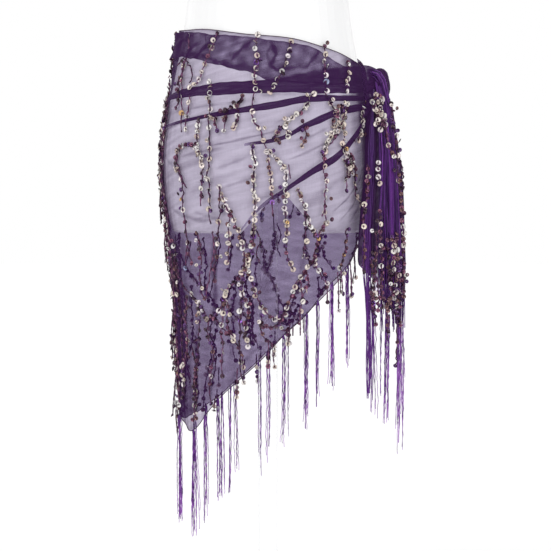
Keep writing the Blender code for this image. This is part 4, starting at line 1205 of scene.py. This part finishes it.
def mirrored(route, number):
    """A front route carried to the back: similar, but never the same."""
    route = np.array(route, float)
    angle = -(route[:, 0] * 1.06 + 0.09 * math.sin(2.3 * number) + 0.03)
    height = route[:, 1] + 0.012 * math.sin(1.7 * number + 1) + 0.004 * np.sin(5 * route[:, 0] + number)
    low = edge_height(HEM_BACK, angle) + 0.012
    high = edge_height(TOP_BACK, angle) - 0.006
    return np.stack((angle, np.clip(height, low, high)), -1)


def make_tail_sequins(heaps, rng):
    for chain in TAIL_CHAINS:
        share, height = np.array(chain.route, float).T
        path = resample(before_tail(share, height, 0.0165), max(8, 5 * len(chain.route)))
        way = np.broadcast_to(np.array((0.25, -0.97, 0.0)), path.shape)
        string(chain, path, way, heaps, rng)


def make_sequins():
    rng = np.random.default_rng(7)
    made = []
    for side in ("front", "back"):
        heaps = (Heap(), Heap(), Heap())
        for number, chain in enumerate(CHAINS):
            route = chain.route if side == "front" else mirrored(chain.route, number)
            add_chain(Chain(chain.spacing, chain.pale, route), heaps, rng)
        for number, dangle in enumerate(DANGLES):
            if side == "back":
                angle, height = mirrored(((dangle.angle, dangle.height),) * 2, number)[0]
                dangle = Dangle(angle, height, dangle.length, dangle.sequins)
            add_dangle(dangle, heaps, rng)
        if side == "front":
            make_tail_sequins(heaps, rng)
        names = (("sequins_pale_", LIGHT_SEQUIN), ("sequins_dark_", DARK_SEQUIN), ("yarn_", YARN))
        made += [heap.to_object(name + side, material) for heap, (name, material) in zip(heaps, names)]
    return made


# ---------------------------------------------------------------- fringe
def add_strand(heap, rng, top, length, lean):
    """One strand, hanging with a slight wave and lighter towards its tip."""
    count = 30
    drop = np.linspace(0, 1, count)
    phase = rng.random(2) * 6
    sway = 0.0012 * np.sin(drop * (4 + 3 * rng.random()) + phase[0]) * drop
    depth = 0.0010 * np.sin(drop * 5 + phase[1]) * drop
    crinkle = 0.00035 * rng.normal(0, 1, count)
    path = top + np.stack((lean[0] * drop + sway + crinkle, lean[1] * drop + depth, -length * drop), -1)
    tone = 0.12 + 0.40 * rng.random() + 0.35 * drop + 0.30 * rng.normal(0, 1, count)
    heap.tube(path, STRAND_RADIUS * (1 - 0.35 * drop), 4, grey(np.clip(tone, 0, 1)))


def add_bunch(heap, rng, top, length, strands):
    """Strands knotted together at their heads."""
    head = top + np.array(((0, 0, 0.002), (0, 0, 0), (0, 0, -0.003), (0, 0, -0.005)))
    heap.tube(head, np.array((0.0006, 0.0018, 0.0016, 0.0008)), 6, (0.2, 0.2, 0.2))
    for _ in range(strands):
        start = top + np.array((rng.normal(0, 0.0013), rng.normal(0, 0.0008), -0.002))
        lean = rng.normal(0, 0.0024, 2)
        add_strand(heap, rng, start, length * (0.86 + 0.14 * rng.random()), lean)


def make_fringe(name, bunches, hem):
    rng = np.random.default_rng(11)
    heap = Heap()
    for bunch in bunches:
        top = cloth_point(bunch.angle, edge_height(hem, bunch.angle), CLOTH_WALL + FRINGE_LIE)
        add_bunch(heap, rng, top, bunch.length, bunch.strands)
    return heap.to_object(name, STRAND)


def make_tail_fringe(name, rows, cut, bunches):
    rows = tuple(reversed(rows))
    rng = np.random.default_rng(23)
    heap = Heap()
    for share, reach, strands in bunches:
        foot = float(tail_foot(cut, share))
        place = tail_point(rows, cut.turns, np.array(share), np.array(foot))
        add_bunch(heap, rng, place - np.array((0, 0, FRINGE_BELOW)), (foot - cut.fringe_low) * reach, strands)
    return heap.to_object(name, STRAND)


def before_tail(share, height, lie):
    """A place in front of the front tail's pleats."""
    rows = tuple(reversed(TAILS["tail_front"]))
    height = np.asarray(height, float)
    place = tail_point(rows, 0.0, np.asarray(share, float), np.maximum(height, 0.57))
    place[..., 2] = height
    place[..., 1] -= lie
    return place


def make_tail_strands():
    """Fringe strands that are caught up in the knot and hang down in front of the tails."""
    rng = np.random.default_rng(31)
    heap = Heap()
    for _ in range(84):
        share = 0.30 + 0.72 * rng.random() ** 0.7
        height = np.linspace(0.90, 0.63 - 0.09 * rng.random(), 20)
        place = before_tail(np.full(20, share), height, 0.0095 + 0.004 * rng.random())
        place[:, 0] += 0.0015 * np.sin(height * 30 + rng.random() * 6)
        crest = np.array((0.162 + 0.018 * share, -0.044, 0.941 - 0.020 * share + 0.004 * rng.random()))
        path = resample(np.vstack((crest, place)), 24)
        tone = np.clip(0.60 * rng.random() ** 2.5 + 0.05 * np.sin(np.arange(24)), 0, 1)
        heap.tube(path, STRAND_RADIUS, 4, grey(tone))
    for _ in range(30):
        share = 0.62 + 0.42 * rng.random()
        height = np.linspace(0.86, 0.66 - 0.07 * rng.random(), 16)
        place = before_tail(np.full(16, share), height, 0.0125 + 0.004 * rng.random())
        over = np.array(((-0.014, -0.014, 0.016), (-0.006, -0.022, 0.013), (0.004, -0.022, -0.004)))
        over = KNOT_CENTRE + over + rng.normal(0, 0.0022, 3)
        path = resample(np.vstack((over, place)), 26)
        tone = np.clip(0.05 + 0.55 * rng.random() ** 2 + 0.05 * np.sin(np.arange(26)), 0, 1)
        heap.tube(path, STRAND_RADIUS, 4, grey(tone))
    for _ in range(16):
        share = -0.08 + 0.20 * rng.random()
        height = np.linspace(0.84, 0.44 + 0.10 * rng.random() ** 2, 24)
        place = before_tail(np.full(24, share), height, 0.0115 + 0.004 * rng.random())
        place[:, 0] += 0.0010 * np.sin(height * 40 + rng.random() * 6) + 0.002 * (0.84 - height)
        path = np.vstack(((0.166 + 0.006 * share, -0.046, 0.925), place))
        tone = np.clip(0.25 * rng.random() + 0.8 * (0.84 - path[:, 2]), 0, 1)
        heap.tube(resample(path, 34), STRAND_RADIUS, 4, resample(grey(tone), 34))
    return heap.to_object("tail_strands", STRAND)


# ---------------------------------------------------------------- putting it together
def make_scarf():
    front = make_wrap("scarf_front", 0.0, FRONT_END, 300, 260, HEM_FRONT, TOP_FRONT, WRAP_CREASES, 1.0)
    back = make_wrap("scarf_back", BACK_END, 0.0, 280, 200, HEM_BACK, TOP_BACK, BACK_CREASES, 1.3)
    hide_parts("wrap_front")
    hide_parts("wrap_back")
    band_front = make_band(
        "turned_edge_front", 0.0, FRONT_END - BAND_SHORT, 300, 40, TURN_FRONT, TOP_FRONT, BAND_CREASES
    )
    band_back = make_band(
        "turned_edge_back", BACK_END + BAND_SHORT, 0.0, 260, 30, TURN_BACK, TOP_BACK, BAND_BACK_CREASES
    )
    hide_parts("band_front")
    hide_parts("band_back")
    on_front, on_back = [band_front], [band_back]
    for name, rows in PLEATS.items():
        pleat = make_pleat("gathered_" + name, rows, 0.75 if name.endswith(("2", "4", "back_3")) else 0.20)
        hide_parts(name)
        (on_front if rows[-1].angle > 0 else on_back).append(pleat)
    knot = make_knot()
    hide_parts("knot")
    knot_turn = make_knot_turn()
    on_front.append(make_knot_gather(
        "knot_gather_front", 2.66, 2.80, 0.878, 0.963, 0.0042, (0.168, -0.042, 0.918), (0.174, -0.036, 0.951)
    ))
    on_back.append(make_knot_gather(
        "knot_gather_back", -3.06, -3.22, 0.882, 0.958, 0.0042, (0.172, -0.008, 0.920), (0.174, -0.010, 0.953)
    ))
    hems = Heap()
    make_hems(hems, HEM_FRONT, TOP_FRONT, 0.0, FRONT_END)
    make_hems(hems, HEM_BACK, TOP_BACK, BACK_END, 0.0)
    hem = hems.to_object("rolled_hems", YARN)
    tails = []
    for name, rows in TAILS.items():
        tail = make_tail("scarf_" + name, rows, TAIL_CUTS[name])
        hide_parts(name)
        fringe = make_tail_fringe("strands_" + name, rows, TAIL_CUTS[name], TAIL_BUNCHES[name])
        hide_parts("fringe_" + name)
        tails.append((tail, fringe))
    fringe_front = make_fringe("strands_front", FRINGE_FRONT, HEM_FRONT)
    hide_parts("fringe_front")
    fringe_back = make_fringe("strands_back", FRINGE_BACK, HEM_BACK)
    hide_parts("fringe_back")
    strands = make_tail_strands()
    trims = make_sequins()
    everything = [front, back, *on_front, *on_back, knot, knot_turn, hem, strands]
    everything += [fringe_front, fringe_back, *trims]
    for tail, fringe in tails:
        everything += [tail, fringe]
    for piece in everything:
        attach(piece, "root")


def dress_stand():
    looks = {"form_body": form_plastic(), "stand_rod": clear_acrylic(), "stand_base": base_metal()}
    for name, material in looks.items():
        node = frame["nodes"][name]
        node.data.materials.clear()
        node.data.materials.append(material)
        node.data.shade_smooth()
        node.data.set_sharp_from_angle(angle=math.radians(35))


def make_stage():
    """A plain pale floor under soft studio light."""
    side = 14.0
    corners = [(x * side, y * side, 0.0) for x, y in ((-1, -1), (1, -1), (1, 1), (-1, 1))]
    floor = new_object("floor", corners, [(0, 1, 2, 3)], floor_white())
    world = bpy.data.worlds.new("studio")
    bpy.context.scene.world = world
    world.use_nodes = True
    tree = world.node_tree
    light = tree.nodes["Background"]
    light.inputs["Color"].default_value = (1.0, 1.0, 1.0, 1.0)
    light.inputs["Strength"].default_value = 0.60
    plain = tree.nodes.new("ShaderNodeBackground")
    plain.inputs["Color"].default_value = (1.0, 1.0, 1.0, 1.0)
    plain.inputs["Strength"].default_value = 1.0
    rays = tree.nodes.new("ShaderNodeLightPath")
    mix = tree.nodes.new("ShaderNodeMixShader")
    tree.links.new(rays.outputs["Is Camera Ray"], mix.inputs[0])
    tree.links.new(light.outputs[0], mix.inputs[1])
    tree.links.new(plain.outputs[0], mix.inputs[2])
    tree.links.new(mix.outputs[0], tree.nodes["World Output"].inputs["Surface"])
    Lamp = namedtuple("Lamp", "name place spread power")
    lamps = (
        Lamp("key", (-1.5, -2.6, 2.4), 40.0, 0.95),
        Lamp("fill", (2.2, -2.2, 1.8), 50.0, 0.60),
        Lamp("back_left", (-2.2, 2.2, 2.4), 50.0, 0.55),
        Lamp("back_right", (2.0, 2.4, 2.6), 50.0, 0.55),
    )
    for lamp in lamps:
        data = bpy.data.lights.new(lamp.name, "SUN")
        data.angle = math.radians(lamp.spread)
        data.energy = lamp.power
        made = bpy.data.objects.new(lamp.name, data)
        made.location = lamp.place
        aim = Vector((0.0, 0.0, 0.7)) - made.location
        made.rotation_euler = aim.to_track_quat("-Z", "Y").to_euler()
        bpy.context.scene.collection.objects.link(made)
    bpy.context.scene.view_settings.view_transform = "Standard"


def make_camera():
    data = bpy.data.cameras.new("camera")
    data.sensor_fit = "HORIZONTAL"
    data.angle = 2 * math.atan(PICTURE_HALF_SIZE / PICTURE_DISTANCE)
    camera = bpy.data.objects.new("camera", data)
    back = Vector((0.0, -math.cos(PICTURE_ELEVATION), math.sin(PICTURE_ELEVATION)))
    camera.location = PICTURE_AIM + back * PICTURE_DISTANCE
    camera.rotation_euler = (-back).to_track_quat("-Z", "Y").to_euler()
    bpy.context.scene.collection.objects.link(camera)
    bpy.context.scene.camera = camera


make_camera()
make_stage()
dress_stand()
make_scarf()
